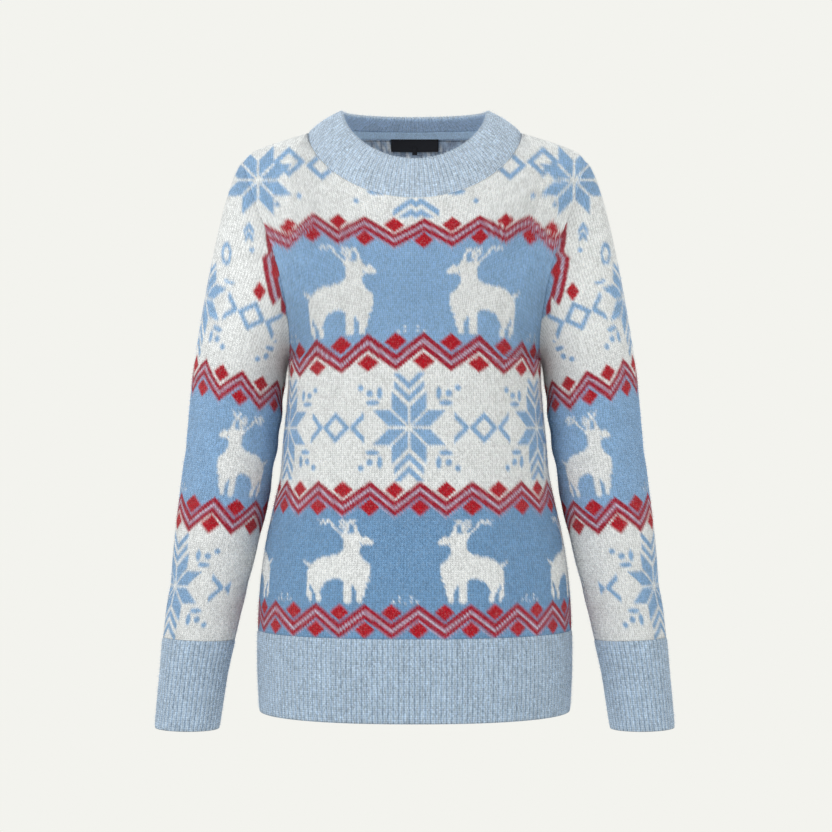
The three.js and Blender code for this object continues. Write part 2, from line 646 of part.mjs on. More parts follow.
const pieces = [frontPanel, backPanel, hemFront, hemBack, neckband];
for (const [side, word] of [[-1, 'left'], [1, 'right']]) {
  const ring = armholeRing(frontPanel, backPanel, side);
  const sleeve = makePiece(`sleeve_${word}`, sleeveGrid(ring, side), {
    round: true, hand: -side, thickness: KNIT, material: WHITE_WOOL,
  });
  sleeve.normals[0] = ring.map(({ normal }) => normal.clone());
  const cuff = makePiece(`cuff_${word}`, cuffGrid(ring.length, side), {
    round: true, hand: -side, thickness: RIB_KNIT, fineness: CUFF_FINENESS, material: BLUE_RIB,
  });
  shareNormals([{ ...sleeve, points: sleeve.points.slice(1), normals: sleeve.normals.slice(1) }, cuff]);
  pieces.push(sleeve, cuff);
}
pieces.forEach((piece) => openSeams(piece));

const group = new THREE.Group();
function addMesh(name, geometry, material) {
  const mesh = new THREE.Mesh(geometry, material);
  mesh.name = name;
  group.add(mesh);
}
for (const piece of pieces) {
  addMesh(piece.name, wallGeometry(piece), piece.material);
}
addMesh('neck_tape', tapeGeometry(neckband), BLUE_TAPE);
addMesh('neck_label', hungPatch(
  LABEL.width, LABEL.topZ, LABEL.topZ - LABEL.height, 0, LABEL.thickness, LABEL.columns), BLACK_WEAVE);
addMesh('label_tab', hungPatch(
  TAB.width, LABEL.topZ - TAB.drop, LABEL.topZ - TAB.drop - TAB.height,
  LABEL.thickness + SEAM_GAP, TAB.thickness, 2), BLACK_WEAVE);

export default group;
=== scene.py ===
"""A long-sleeved christmas sweater of brushed wool, filled out as if worn, with nobody in it.

Metres in Blender, millimetres in the tables, +Z up. The front faces -Y, and left and right are as seen
from the front. Each cut piece is one closed wall: a fine outer skin of stitches, a plain inner skin, and
rims between them. A stitch is two quads that meet in a V, coloured by the knitted pattern.
"""

import bpy
import numpy as np
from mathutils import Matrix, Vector


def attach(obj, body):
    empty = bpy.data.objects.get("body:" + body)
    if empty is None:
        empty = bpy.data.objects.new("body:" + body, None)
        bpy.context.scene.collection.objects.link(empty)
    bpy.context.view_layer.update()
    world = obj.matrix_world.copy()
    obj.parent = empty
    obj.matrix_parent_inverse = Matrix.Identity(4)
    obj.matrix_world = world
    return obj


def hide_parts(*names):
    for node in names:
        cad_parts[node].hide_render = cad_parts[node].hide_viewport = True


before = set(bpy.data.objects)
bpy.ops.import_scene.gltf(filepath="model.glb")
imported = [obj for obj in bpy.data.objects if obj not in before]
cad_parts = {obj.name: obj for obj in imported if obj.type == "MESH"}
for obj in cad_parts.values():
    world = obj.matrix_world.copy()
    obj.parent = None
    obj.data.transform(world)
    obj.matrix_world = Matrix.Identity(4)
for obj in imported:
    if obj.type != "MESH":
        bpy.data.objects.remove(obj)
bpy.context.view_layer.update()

MM = 0.001
rng = np.random.default_rng(24)

# Cloth: how thick the pieces are, a rib's height and width, the height of its courses, and how tall
# the material draws one of their stitches
KNIT = 2.8
RIB_KNIT = 3.0
BAND = 5.2
RIB_HEIGHT = 0.9
RIB_PERIOD = 5.3
RIB_COURSE = 3.1
RIB_STITCH = 1.4

# Seams: how deep the cloth sinks at one and from how far away, the way over which ribs fade there,
# how much lower the cloth lies between faded ribs, and how far a rib piece goes under its seam
SEAM_DIP = 0.35
SEAM_REACH = 2.4
RIB_FADE = 4.0
RIB_FOOT = 0.4
SEAM_TUCK = 1.2

# Stitches: a wale is one stitch wide and a course one stitch high. A stitch's raised side stands out
# by its rise. Then how many wales half a panel and a sleeve have, and how many courses each part has.
WALE = 2.65
COURSE = 2.2
STITCH_RISE = 0.22
HALF_WALES = 82
ARMHOLE_COURSES = 80
SIDE_COURSES = 130
SLEEVE_WALES = 112
CAP_COURSES = 84
ARM_COURSES = 118

# Loose fibres: their length and half their width
FIBRE_LENGTH = 3.2
FIBRE_HALF_WIDTH = 0.08

# The nap: waves a metre of its hairs, wisps and clouds, and its flecks
HAIR_SCALE = 1300.0
WISP_SCALE = 450.0
CLOUD_SCALE = 60.0
FLECK_COLOUR = (0.85, 0.88, 0.92, 1)
FLECK_SHARE = 0.16

# The front view: the camera's distance, place and focal length in pixels, a pixel's size on the
# garment, and the camera's lens and sensor
VIEW_DISTANCE = 2550.0
VIEW_X = 1.4
VIEW_Z = -287.0
VIEW_FOCAL = 2361.0
VIEW_PIXEL = 1.08
LENS = 102.2
SENSOR = 36

# Neckline: half width, front reach, back reach, and heights at the side, front and back
NECK_SEAM = (115.0, 108.0, 104.0, 18.5, -61.0, 25.5)
NECK_TOP = (78.0, 91.0, 70.0, 43.0, -18.0, 45.0)

# With a dip above 1 the neckline leaves the neck point level. The band swells outwards, leaning up.
NECK_DIP = 1.22
BAND_BULGE = 2.5
BAND_LEAN = 0.6

# In parts of the band's height: how far it goes under its seam, where the fold turns, and where ribs rise
BAND_TUCK = 0.022
BAND_FOLD = 0.95
BAND_FOOT = (-0.03, 0.12)

# Shoulder seam: part of the way out, x, z
SHOULDER = np.array([
    (0, 115, 18.5),
    (0.3, 135, 12.3),
    (0.6, 157, 5.2),
    (0.85, 176, -3),
    (1, 185, -12),
])

# How far down the cloth rolls over from the neckline and the shoulder seam, and draws in sideways,
# where across a panel the shoulder's roll begins and is full, and the power that holds its edge
NECK_ROLL = 60.0
SHOULDER_ROLL = 75.0
WIDTH_ROLL = 150.0
SHOULDER_START = 0.45
SHOULDER_FULL = 0.8
EDGE_HOLD = 6

# Trunk sections: z, half width, depth in front, depth behind, squareness
TRUNK = np.array([
    (40, 190, 94, 100, 2.5),
    (-12, 190, 100, 108, 2.5),
    (-40, 187, 104, 112, 2.5),
    (-61, 183, 108, 114, 2.5),
    (-86, 178, 113, 116, 2.5),
    (-120, 169, 119, 117, 2.5),
    (-154, 157, 125, 117.5, 2.5),
    (-184, 144.5, 128, 116, 2.45),
    (-208, 137, 128.5, 114, 2.4),
    (-228, 135.5, 128, 112, 2.4),
    (-255, 136, 126.5, 108.5, 2.35),
    (-285, 138.5, 124, 105, 2.3),
    (-315, 141.5, 122, 103, 2.3),
    (-350, 144.5, 121.5, 104, 2.25),
    (-383, 151.5, 122.5, 107, 2.25),
    (-417, 159, 124.5, 111, 2.25),
    (-452, 164.5, 127, 115, 2.25),
    (-486, 167.5, 129, 118, 2.25),
    (-516, 168.5, 130, 120, 2.25),
    (-560, 168.5, 131, 121.5, 2.25),
    (-603, 166.5, 130, 121, 2.25),
])
SHOULDER_Z = -12.0
UNDERARM_Z = -228.0
HEM_SEAM_Z = -516.0
HEM_EDGE_Z = -603.0

# Armhole from the tip to the underarm: part, x and y in front, x and y behind, z
ARMHOLE = np.array([
    (0, 185, 0, 185, 0, -12),
    (0.1, 183.5, -20, 184, 24, -17),
    (0.2, 179.5, -37, 180.5, 40, -31),
    (0.3, 171, -53, 172, 53, -55),
    (0.4, 159, -66, 161, 63, -86),
    (0.5, 147, -75, 150, 69, -120),
    (0.6, 138.5, -75, 142, 67, -154),
    (0.7, 134, -65, 136.5, 56, -184),
    (0.8, 132.5, -48, 134, 40, -208),
    (0.9, 134, -26, 134.5, 22, -222.5),
    (1, 135.5, 0, 135.5, 0, -228),
])
ARMHOLE_BY_Z = ARMHOLE[:, [5, 1, 3]]

# How far the cloth turns down at the underarm to fold into the sleeve, and how far down the armhole that
# begins. Then how far away the points are from which a normal at the armhole is worked out.
UNDERARM_TURN = 0.92
UNDERARM_START = 0.62
NEXT_COLUMN = 11 / 12
NEXT_ROW = 0.1
JUST_PAST = 1e-9

# Sleeve sections: z, x and y of the arm's centre line, half width, half depth, dip towards the body
SLEEVE = np.array([
    (-250, 190.5, 6, 50, 61, 8.2),
    (-282, 193.2, 7, 50.3, 58.5, 8.2),
    (-315, 196.6, 7, 50.2, 55.5, 8.1),
    (-350, 201.8, 5.5, 49, 52.5, 7.8),
    (-384, 207.2, 3, 47.6, 50, 7.2),
    (-418, 213.4, 0, 45.4, 47.5, 6.2),
    (-452, 219, -4, 42.8, 45, 5),
    (-486, 225, -8.5, 40.8, 42.5, 3.6),
    (-524, 231.3, -13.5, 38.4, 40, 2.2),
    (-560, 236.5, -18, 35.8, 37.5, 1.4),
    (-590, 240, -21.5, 34.8, 36, 1),
    (-621, 243.4, -25, 33.7, 34.9, 1),
])

# How far the cap's end leans out along the arm, and the heights where the cap, the arm and the cuff end
CAP_DIP = np.radians(8.2)
BICEPS_Z = -250.0
CUFF_SEAM_Z = -525.0
CUFF_EDGE_Z = -620.0

# How strongly the cap leaves the armhole along the body's cloth and comes into the arm along its line,
# how far it leaves the underarm straight outwards instead, and between which parts that comes in
CAP_LEAVE = 0.35
CAP_ARRIVE = 0.9
UNDERARM_LEAVE = 0.8
UNDERARM_NEAR = (0.4, 0.85)

# Folds of the body: face, the line's x and z at both ends, width, depth. The large ones come first.
# A fold comes in and goes at these parts of its line.
FOLD_FADE_IN = (-0.1, 0.3)
FOLD_FADE_OUT = (0.6, 1.15)
BODY_FOLDS = [
    (-1, -126, -236, -84, -296, 20, -3.5),
    (-1, 126, -240, 90, -310, 22, -3.2),
    (-1, -124, -330, -104, -470, 26, -2.6),
    (-1, 122, -320, 110, -490, 24, -2.8),
    (1, -120, -240, -70, -310, 24, -3.8),
    (1, 118, -236, 76, -322, 22, -3.4),
    (1, -60, -330, -76, -480, 30, -3),
    (1, 48, -340, 66, -500, 28, -2.6),
    (-1, -30, -70, -70, -130, 16, -1.0),
    (-1, 40, -75, 80, -140, 16, -1.0),
    (-1, -60, -250, -20, -300, 14, -1.3),
    (-1, 70, -262, 34, -306, 15, -1.1),
    (-1, 96, -350, 60, -400, 16, -1.4),
    (-1, -96, -420, -50, -470, 16, -1.3),
    (-1, 30, -470, 90, -505, 14, 1.0),
    (1, -90, -90, -40, -150, 18, -1.4),
    (1, 84, -100, 50, -160, 18, -1.2),
    (1, 10, -420, 70, -470, 16, -1.4),
    (1, -100, -400, -50, -450, 16, 1.0),
    (1, 20, -250, -40, -320, 20, -1.2),
]

# Folds of a sleeve: angle round it in degrees, z, spread in degrees, width, depth
SLEEVE_FOLDS = [
    (20, -300, 55, 15, -3),
    (340, -334, 60, 16, -3.4),
    (60, -372, 50, 15, -2.6),
    (150, -470, 60, 16, -2),
    (300, -410, 55, 17, -2.4),
    (30, -352, 40, 9, -1.4),
    (10, -264, 40, 10, -1.6),
    (105, -440, 40, 12, -1.2),
    (205, -330, 45, 12, -1.5),
    (320, -462, 45, 11, -1.4),
    (45, -500, 40, 10, -1.2),
    (130, -305, 35, 10, -1.1),
]

# The strip inside the back of the neck, in parts of the band's height and of a turn, and its ribs
TAPE = {"low": 0.1, "high": 0.43, "reach": 6 / 16, "clear": 1.5, "relief": 0.35, "ribs": 52}
TAPE_THICKNESS = 1.2

# The label and its tab, and the ellipse that they lie along. Out is how far behind it they start, and
# curl is how far their lower edge stands off it.
LABEL_CURVE = {"half_width": 107.0, "depth": 96.6}
LABEL = {"width": 53.0, "height": 15.0, "top": 23.65, "out": 0, "thickness": 0.8, "curl": 0.5, "columns": 24}
TAB = {"width": 5.6, "height": 9.0, "top": 14.05, "out": -1.2, "thickness": 0.6, "curl": 0.6, "columns": 6}

# Lights: name, place and aim in metres, size, power
LIGHTS = [
    ("key", (-1.3, -2.25, 1.3), (0, 0, -0.25), 1.2, 30),
    ("fill", (1.6, -2.2, 0.4), (0, 0, -0.3), 1.5, 3),
    ("back", (0.3, 2.2, 1.2), (0, 0, -0.2), 1.5, 14),
    ("inside", (0, -0.02, -0.07), (0, 0.09, 0.03), 0.1, 0.11),
]
STUDIO = (243, 243, 238)

# Yarn colours, as they look in daylight, except the lower body's blue, which is the blue painted darker as
# shade towards the bottom
WHITE = (241, 244, 246)
BLUE = (143, 182, 223)
# Painted shade: the blue of the lower body's bands, painted darker than the upper blue
LOW_SHADED_BLUE = (117, 160, 203)
RED = (184, 6, 32)
BRICK = (168, 16, 46)
LILAC = (180, 172, 204)
PALE_LINE = (206, 204, 226)
RIB_BLUE = (177, 197, 218)
RIB_INSIDE = (140, 163, 186)
BAND_BLUE = (190, 207, 226)
BAND_INSIDE = (160, 187, 218)
TAPE_BLUE = (166, 194, 222)
LABEL_BLACK = (20, 21, 26)

# How unevenly the ribs' yarn is dyed, and how far loose fibres blur the edge between two yarns
MELANGE_SPREAD = 0.09
YARN_BLUR = 0.75

# The wrong side of the patterned knit: floats of both yarns over a grey ground, and their shares
FLOAT_BLUE = (140, 158, 180)
FLOAT_WHITE = (196, 202, 208)
FLOAT_GREY = (110, 124, 144)
BLUE_SHARE = 0.4
WHITE_SHARE = 0.3

# A reindeer facing right, one mark for each stitch
REINDEER = """
........X..........X..X.....
.......X.X.X......X..X......
......X.X.X.....X..X.X......
........X.XX...X.X.XX.......
.......X.X..X...X.X.X.......
............X..X.XX..X......
.............X..X.X..X......
..............X..XX..X......
...............X.X...XX.....
................XXXXXXX.....
................XXXXXXXX.X..
.................XXXXXXXXXX.
.................XXXXXXXXXXX
.................XXXXXX.XXXX
.................XXXXXXX....
.................XXXXXX.....
.................XXXXXX.....
................XXXXXXX.....
...............XXXXXXXX.....
............XXXXXXXXXXXX....
........XXXXXXXXXXXXXXXX....
......XXXXXXXXXXXXXXXXXXX...
X....XXXXXXXXXXXXXXXXXXXXX..
.XX.XXXXXXXXXXXXXXXXXXXXXXX.
..XXXXXXXXXXXXXXXXXXXXXXXXX.
...XXXXXXXXXXXXXXXXXXXXXXXX.
..XXXXXXXXXXXXXXXXXXXXXXXXX.
..XXXXXXXXXXXXXXXXXXXXXXXXX.
..XXXXXXXXXXXXXXXXXXXXXXXXX.
..XXXXXXXXXXXXXXXXXXXXXXXX..
..XXXXXXXXXX....XXXXXXXXXXX.
..XXXXXXXX.......XXXXXXXXX..
..XXXXXXX........XXXXXXXX...
..X.XXXXX........XXX.XXXXX..
..X.XXXX.........XXX.XXXX...
..X..XXX.........XXX..XXX...
..XX.XX..........XXX..XXX...
..XX..XX.........XXX..XXX...
..XX..XX.........XXX..XX....
...X..XX.........XXX..XX....
...X..XX.........XXX..XX....
..................X.........
"""

# Snow on the ground between two reindeer
SPRIGS = """
..X...X..
.........
X.X...X.X
....X....
"""

# A chart is read smoothly between its stitches, and a place above this value is set
CHART_EDGE = 0.45

# The body's bands from the top: the yoke, reindeer, stars, reindeer. The yoke's lower edge rises and
# the stars' upper edge drops, by amounts that go with the distance from the middle in the front view
# and fade over a spread of heights.
YOKE_FLOOR = -98.0
STARS_TOP = -222.0
STARS_FLOOR = -372.0
YOKE_RISE = ((0, 51, 102, 146), (0, 3, 8.5, -2))
YOKE_SPREAD = 50.0
STARS_DROP = ((0, 60, 120), (0, 3, 10))
STARS_SPREAD = 45.0

# The row of stars: its middle height, the place of one star along the cloth, and the spacing
BODY_STARS = (-298.8, -5.7, 158)

# The body's reindeer: the band's top and bottom, the antlers' top, and knots of view and wales
DEER_SPACING = 50.0
KNOT_PITCH = 2.7
BODY_DEER = [
    (YOKE_FLOOR, STARS_TOP, -110.5, [(-114, -39), (-40, -11), (31, 11), (105, 39)]),
    (STARS_FLOOR, -500, -388.5, [(-143, -61), (-113, -39), (-43, -11), (22, 11), (92, 39), (131, 61)]),
]

# The lower reindeer band takes the blue painted darker as shade
# A zigzag's length in wales, the height of the outline under it, and how much wider than tall a diamond is
ZIGZAG_WALES = 20
OUTLINE = 3
DIAMOND_WIDTH = 1.18

# The body's zigzags: knots of view and wales, the lowest height, and top, swing, lines, diamonds, grounds
BODY_ZIGZAGS = [
    ([(-146, -60), (-102.4, -40), (-51.5, -20), (8, 0), (64, 20), (112, 40), (154, 60)], -117,
     (-82.8, 17.5, (5.6, 3.2, 5.4), 8.2, WHITE, BLUE)),
    ([(-116, -50), (-74.5, -30), (-20, -10), (35, 10), (88, 30)], -242,
     (-200.4, 22, (6.6, 4.0, 6.6), 9.4, BLUE, WHITE)),
    # The lower two zigzags have grounds of the blue painted darker as shade
    ([(-98, -40), (-46, -20), (4, 0), (56, 20), (106, 40)], -394,
     (-354.2, 20, (6.2, 3.6, 6), 9, WHITE, LOW_SHADED_BLUE)),
    ([(-140.5, -60), (-100.5, -40), (-51.5, -20), (2.5, 0), (55, 20), (101.6, 40), (136.7, 60)], -519,
     (-480, 20, (6.2, 3.6, 5.8), 8.9, LOW_SHADED_BLUE, LOW_SHADED_BLUE)),
]

# The sleeves' zigzags: a peak's angle, how many there are, the lowest height, and the band
SLEEVE_ZIGZAGS = [
    (82, 7, -281, (-236.5, 22, (6.2, 3.6, 6.2), 9.2, WHITE, BLUE)),
    (98, 6, -414, (-373, 22, (6.6, 4, 6.6), 10, BLUE, WHITE)),
]

# Where the sleeves' stars are drawn: in the top margin only the chevrons of a star, and from an angle
# on. They are smaller than the body's by their scale.
STAR_MARGIN = 12
STAR_HALF_WIDTH = 14
STARS_FROM_ANGLE = 52
SLEEVE_STAR_SCALE = 1.08

# The sleeves' stars: bottom, top, middle height, the arm's radius, a star's angle and their spacing
SLEEVE_STARS = [
    (-250, -145, -182, 53, 164, 146),
    (-530, -388, -469, 41, 147, 212),
]

# The sleeves' reindeer: top and bottom, the antlers' top, a reindeer's angle, the radius and a stitch
SLEEVE_DEER = {"top": -250, "floor": -388, "antlers": -280, "angle": 67, "radius": 50, "stitch": 2.25}

# The sleeves' bands tilt towards the body, by heights and slopes. Then the arm's radius by height, where
# the yoke's motifs begin, between which angles the sleeve's front lies, and the arm's mean radius.
BAND_TILT = ((-500, -390, -250, -170, -120), (0, 0.08, 0.26, 0.46, 0.46))
ARM_RADIUS = ((-620, -250), (34, 50))
YOKE_ON_SLEEVE = -126
SLEEVE_FRONT = (5, 175)
BLUR_RADIUS = 45

# The yoke's motifs, by their places in the front view in pixels. The left half is given, and the
# right half mirrors it: the shoulder's star, diamonds, chevrons with their reach and slope, dots,
# and leaves with their half widths, heights and hollow.
SHOULDER_STAR = (-158, -236)
SHOULDER_TOP = -2
STAR_GAP = 9
YOKE_DIAMONDS = ((-94, -250), (-127, -254))
YOKE_CHEVRONS = ((-5, -216, 18, 0.7), (-5, -205, 18, 0.7), (-167, -192, 5, 1.5), (-167, -183, 4, 1.4))
YOKE_DOTS = ((-117, -219), (-60, -214), (-164, -166), (-139, -212))
YOKE_LEAVES = ((-189.5, -162, 5, 12, 0.3), (-40, -224, 9, 3.4, 0))

# The patch of the blue band on the sleeve by the armhole: its left edge as heights and places in the
# front view, its lowest point and slopes, where its lines begin and end, and its diamonds
PATCH_EDGE = ((-193, -176, -164, -158, -138, -120, -110), (-151, -150, -148, -154, -151, -147, -143))
PATCH_TOP = -193
PATCH_CORNER = (-143, -110)
PATCH_TURN = -135
PATCH_SLOPES = (-1.1, 0.75)
PATCH_PALE = (5, 8.2)
PATCH_GROUND = 13
PATCH_DIAMONDS = ((-140, -144, 5.5, 10), (-156.5, -124.5, 7, 10))


def linear(colour):
    """The linear value of an sRGB colour from 0 to 255."""
    share = np.asarray(colour, float) / 255
    return np.where(share <= 0.04045, share / 12.92, ((share + 0.055) / 1.055) ** 2.4)


def mix(a, b, t):
    """The value a part t of the way from a to b."""
    return a + (b - a) * t


def smoothstep(value, low, high):
    """A rise from 0 at the low value to 1 at the high one, level at both ends."""
    t = np.clip((value - low) / (high - low), 0, 1)
    return t * t * (3 - 2 * t)


def point(x, y, z):
    """Points from arrays of their coordinates."""
    return np.stack(np.broadcast_arrays(x, y, z), axis=-1).astype(float)


def unit(v):
    """Vectors divided by their lengths."""
    return v / np.maximum(np.linalg.norm(v, axis=-1, keepdims=True), 1e-12)


def chart(text):
    """A charted repeat as an array of 0 and 1, one row for each line."""
    return np.array([[mark == "X" for mark in line] for line in text.strip().splitlines()], int)


def read_table(rows, value):
    """The columns after the first, read at a value of the first on a smooth curve through the rows.

    Between two rows the curve is a Hermite cubic, whose slope at a row is that of the line between
    the rows on either side.
    """
    key = rows[:, 0]
    value = np.asarray(value, float)
    sign = 1 if key[-1] > key[0] else -1
    k = np.clip(np.searchsorted(sign * key, sign * value, side="right") - 1, 0, len(key) - 2)
    before = np.maximum(k - 1, 0)
    after = np.minimum(k + 2, len(key) - 1)
    span = key[k + 1] - key[k]
    t = np.clip((value - key[k]) / span, 0, 1)
    found = []
    for column in rows.T[1:]:
        a = column[k]
        b = column[k + 1]
        slope_a = (b - column[before]) / (key[k + 1] - key[before]) * span
        slope_b = (column[after] - a) / (key[after] - key[k]) * span
        between = mix(a, b, t * t * (3 - 2 * t))
        found.append(between + slope_a * t * (1 - t) ** 2 + slope_b * t * t * (t - 1))
    return found


def neck_loop(loop, angle):
    """A point of the neck seam or of the band's fold, the angle being 0 in front and 90 degrees aside.

    It is half an ellipse in front and half of another behind, and its height goes from that at the
    side to that at the end with the cosine of the angle to the power of the dip.
    """
    half_width, front, back, side_z, front_z, back_z = loop
    forward = np.cos(angle)
    reach = np.where(forward > 0, front, back)
    end_z = np.where(forward > 0, front_z, back_z)
    z = mix(side_z, end_z, np.abs(forward) ** NECK_DIP)
    return point(half_width * np.sin(angle), -reach * forward, z)


def top_edge(across, face):
    """The neckline from the centre to the neck point, then the shoulder seam, for across from 0 to 1."""
    turn = np.minimum(across * 1.5, 1) * np.pi / 2
    neck = neck_loop(NECK_SEAM, turn if face < 0 else np.pi - turn)
    x, z = read_table(SHOULDER, np.clip((across - 2 / 3) * 3, 0, 1))
    return np.where((across <= 2 / 3)[..., None], neck, point(x, 0, z))


def trunk_point(share, z, face):
    """A superellipse section: (x / half width) ** squareness + (y / depth) ** squareness = 1.

    The share goes from 0 at the middle to 1 at the side, or at the armhole where there is one.
    """
    half_width, front, back, squareness = read_table(TRUNK, z)
    power = 2 / squareness
    front_x, back_x = read_table(ARMHOLE_BY_Z, z)
    edge_x = np.minimum((front_x if face < 0 else back_x) / half_width, 1)
    edge_angle = np.where(z > UNDERARM_Z, np.arcsin(edge_x ** (1 / power)), np.pi / 2)
    angle = edge_angle * share
    depth = front if face < 0 else back
    return point(
        half_width * np.sin(angle) ** power,
        face * depth * np.maximum(np.cos(angle), 0) ** power,
        z,
    )


def hung_point(across, z, face):
    """The trunk's section, drawn in to the neckline and rolled over to the shoulder seam above it.

    From the top edge down, the depth grows as a quarter circle by the shoulder and as a parabola by
    the neck, and the width grows as a parabola.
    """
    top = top_edge(across, face)
    place = trunk_point(across, z, face)
    fall = np.maximum(top[..., 2] - z, 0)
    in_shoulder = smoothstep(across, SHOULDER_START, SHOULDER_FULL)
    roll = 1 - np.minimum(fall / mix(NECK_ROLL, SHOULDER_ROLL, in_shoulder), 1)
    depth_share = mix(1 - roll**2, np.sqrt(1 - roll**2), in_shoulder)
    width_roll = 1 - np.minimum(fall / WIDTH_ROLL, 1)
    place[..., 1] = mix(top[..., 1], place[..., 1], depth_share)
    place[..., 0] = mix(top[..., 0], place[..., 0], 1 - width_roll**2)
    return place


def half_panel(across, row, face):
    """A point of half a panel. The row is 0 at the top, 1 at the underarm and 2 at the hem's seam.

    What the hung cloth misses the armhole by is added, times a high power of the way across.
    """
    part = np.clip(row, 0, 1)
    front_x, front_y, back_x, back_y, edge_z = read_table(ARMHOLE, part)
    edge = point(front_x if face < 0 else back_x, front_y if face < 0 else back_y, edge_z)
    edge_fall = (edge_z - SHOULDER_Z) / (UNDERARM_Z - SHOULDER_Z)
    fall = mix(part, edge_fall, across**2)
    upper = hung_point(across, mix(top_edge(across, face)[..., 2], UNDERARM_Z, fall), face)
    miss = edge - hung_point(np.ones_like(across), edge_z, face)
    upper = upper + miss * (across**EDGE_HOLD)[..., None]
    lower = hung_point(across, mix(UNDERARM_Z, HEM_SEAM_Z, np.clip(row - 1, 0, 1)), face)
    return np.where((row > 1)[..., None], lower, upper)


def body_fold(place, share, face):
    """Soft troughs along lines, each a bell curve across, fading at both ends and at the side seams."""
    depth = 0
    for side, x0, z0, x1, z1, width, most in BODY_FOLDS:
        if side == face:
            length = np.hypot(x1 - x0, z1 - z0)
            dx = place[..., 0] - x0
            dz = place[..., 2] - z0
            along = (dx * (x1 - x0) + dz * (z1 - z0)) / length**2
            aside = (dx * (z1 - z0) - dz * (x1 - x0)) / length / width
            fade = smoothstep(along, *FOLD_FADE_IN) * (1 - smoothstep(along, *FOLD_FADE_OUT))
            depth = depth + most * fade * np.exp(-aside**2)
    return depth * (1 - share**4)


def panel_point(side, row, face):
    """A point of a panel or, past row 2, of its hem. The side runs from -1 at the left to 1."""
    share = np.abs(side)
    place = half_panel(share, row, face)
    hem = trunk_point(share, mix(HEM_SEAM_Z, HEM_EDGE_Z, np.clip(row - 2, 0, 1)), face)
    place = np.where((row > 2)[..., None], hem, place)
    place[..., 0] *= np.sign(side)
    place[..., 1] += face * body_fold(place, share, face)
    return place


def arm_point(angle, z, side):
    """A ring round the arm, the angle being 0 on the body's side and 90 degrees in front.

    It is an ellipse, tilted by the dip, whose radii shrink by a bell curve at each fold.
    """
    x, y, half_width, half_depth, dip = read_table(SLEEVE, z)
    dip = np.radians(dip)
    degrees = np.degrees(angle)
    swell = 0
    for fold_angle, fold_z, spread, width, depth in SLEEVE_FOLDS:
        aside = ((degrees - fold_angle + 540) % 360 - 180) / spread
        along = (z - fold_z) / width
        swell = swell + depth * np.exp(-aside**2 - along**2)
    inward = (half_width + swell) * np.cos(angle)
    return point(
        side * (x - inward * np.cos(dip)),
        y - (half_depth + swell) * np.sin(angle),
        z - inward * np.sin(dip),
    )


def armhole_point(angle, side):
    """The armhole's seam and the body's normal there, from the underarm round the front to the tip."""
    turn = (angle / np.pi) % 2
    part = np.abs(1 - turn)
    places = []
    for face in (-1, 1):
        one = np.ones_like(part)
        edge = half_panel(one, part, face)
        inside = half_panel(one * NEXT_COLUMN, part, face)
        above = half_panel(one, np.maximum(part - NEXT_ROW, 0), face)
        below = half_panel(one, part + JUST_PAST + NEXT_ROW, face)
        normal = unit(np.cross(edge - inside, below - above)) * face
        normal *= np.sign(np.sum(normal * point(0.6, face, 0), axis=-1, keepdims=True))
        bend = UNDERARM_TURN * smoothstep(part, UNDERARM_START, 1)[..., None]
        places.append((edge, unit(mix(normal, np.array([0.0, 0.0, -1.0]), bend))))
    in_front = (turn <= 1)[..., None]
    edge = np.where(in_front, places[0][0], places[1][0])
    normal = np.where(in_front, places[0][1], places[1][1])
    flip = np.array([side, 1, 1])
    return edge * flip, normal * flip


def cap_point(angle, t, side):
    """A cubic Bezier curve from the armhole's seam to the biceps, leaving along the body's cloth."""
    start, normal = armhole_point(angle, side)
    end = arm_point(angle, np.full_like(angle, BICEPS_Z), side)
    reach = end - start
    length = np.linalg.norm(reach, axis=-1, keepdims=True)
    turn = (angle / np.pi) % 2
    outwards = UNDERARM_LEAVE * smoothstep(np.abs(1 - turn), *UNDERARM_NEAR)[..., None]
    leave = unit(reach - normal * np.sum(reach * normal, axis=-1, keepdims=True))
    leave = unit(mix(leave, np.array([side, 0.0, 0.0]), outwards)) * CAP_LEAVE * length
    arrive = np.array([side * np.sin(CAP_DIP), 0, -np.cos(CAP_DIP)]) * CAP_ARRIVE * length
    t = t[..., None]
    handle_a = start + leave / 3
    handle_b = end - arrive / 3
    return (
        start * (1 - t) ** 3
        + handle_a * 3 * t * (1 - t) ** 2
        + handle_b * 3 * t * t * (1 - t)
        + end * t**3
    )


def sleeve_point(angle, row, side):
    """A point of a sleeve: row 0 to 1 is the cap, 1 to 2 the arm and 2 to 3 the cuff."""
    cap = cap_point(angle, np.clip(row, 0, 1), side)
    z = np.where(
        row < 2,
        mix(BICEPS_Z, CUFF_SEAM_Z, np.clip(row - 1, 0, 1)),
        mix(CUFF_SEAM_Z, CUFF_EDGE_Z, np.clip(row - 2, 0, 1)),
    )
    return np.where((row < 1)[..., None], cap, arm_point(angle, z, side))


def surface_normals(places, closed):
    """Unit normals of a grid of points, turned away from the middle of a ring or of the body."""
    if closed:
        across = np.roll(places, -1, axis=1) - np.roll(places, 1, axis=1)
        centre = places.mean(axis=1, keepdims=True)
    else:
        across = np.gradient(places, axis=1)
        centre = places * np.array([0, 0, 1])
    normal = unit(np.cross(across, np.gradient(places, axis=0)))
    return normal * np.sign(np.sum(normal * (places - centre)))


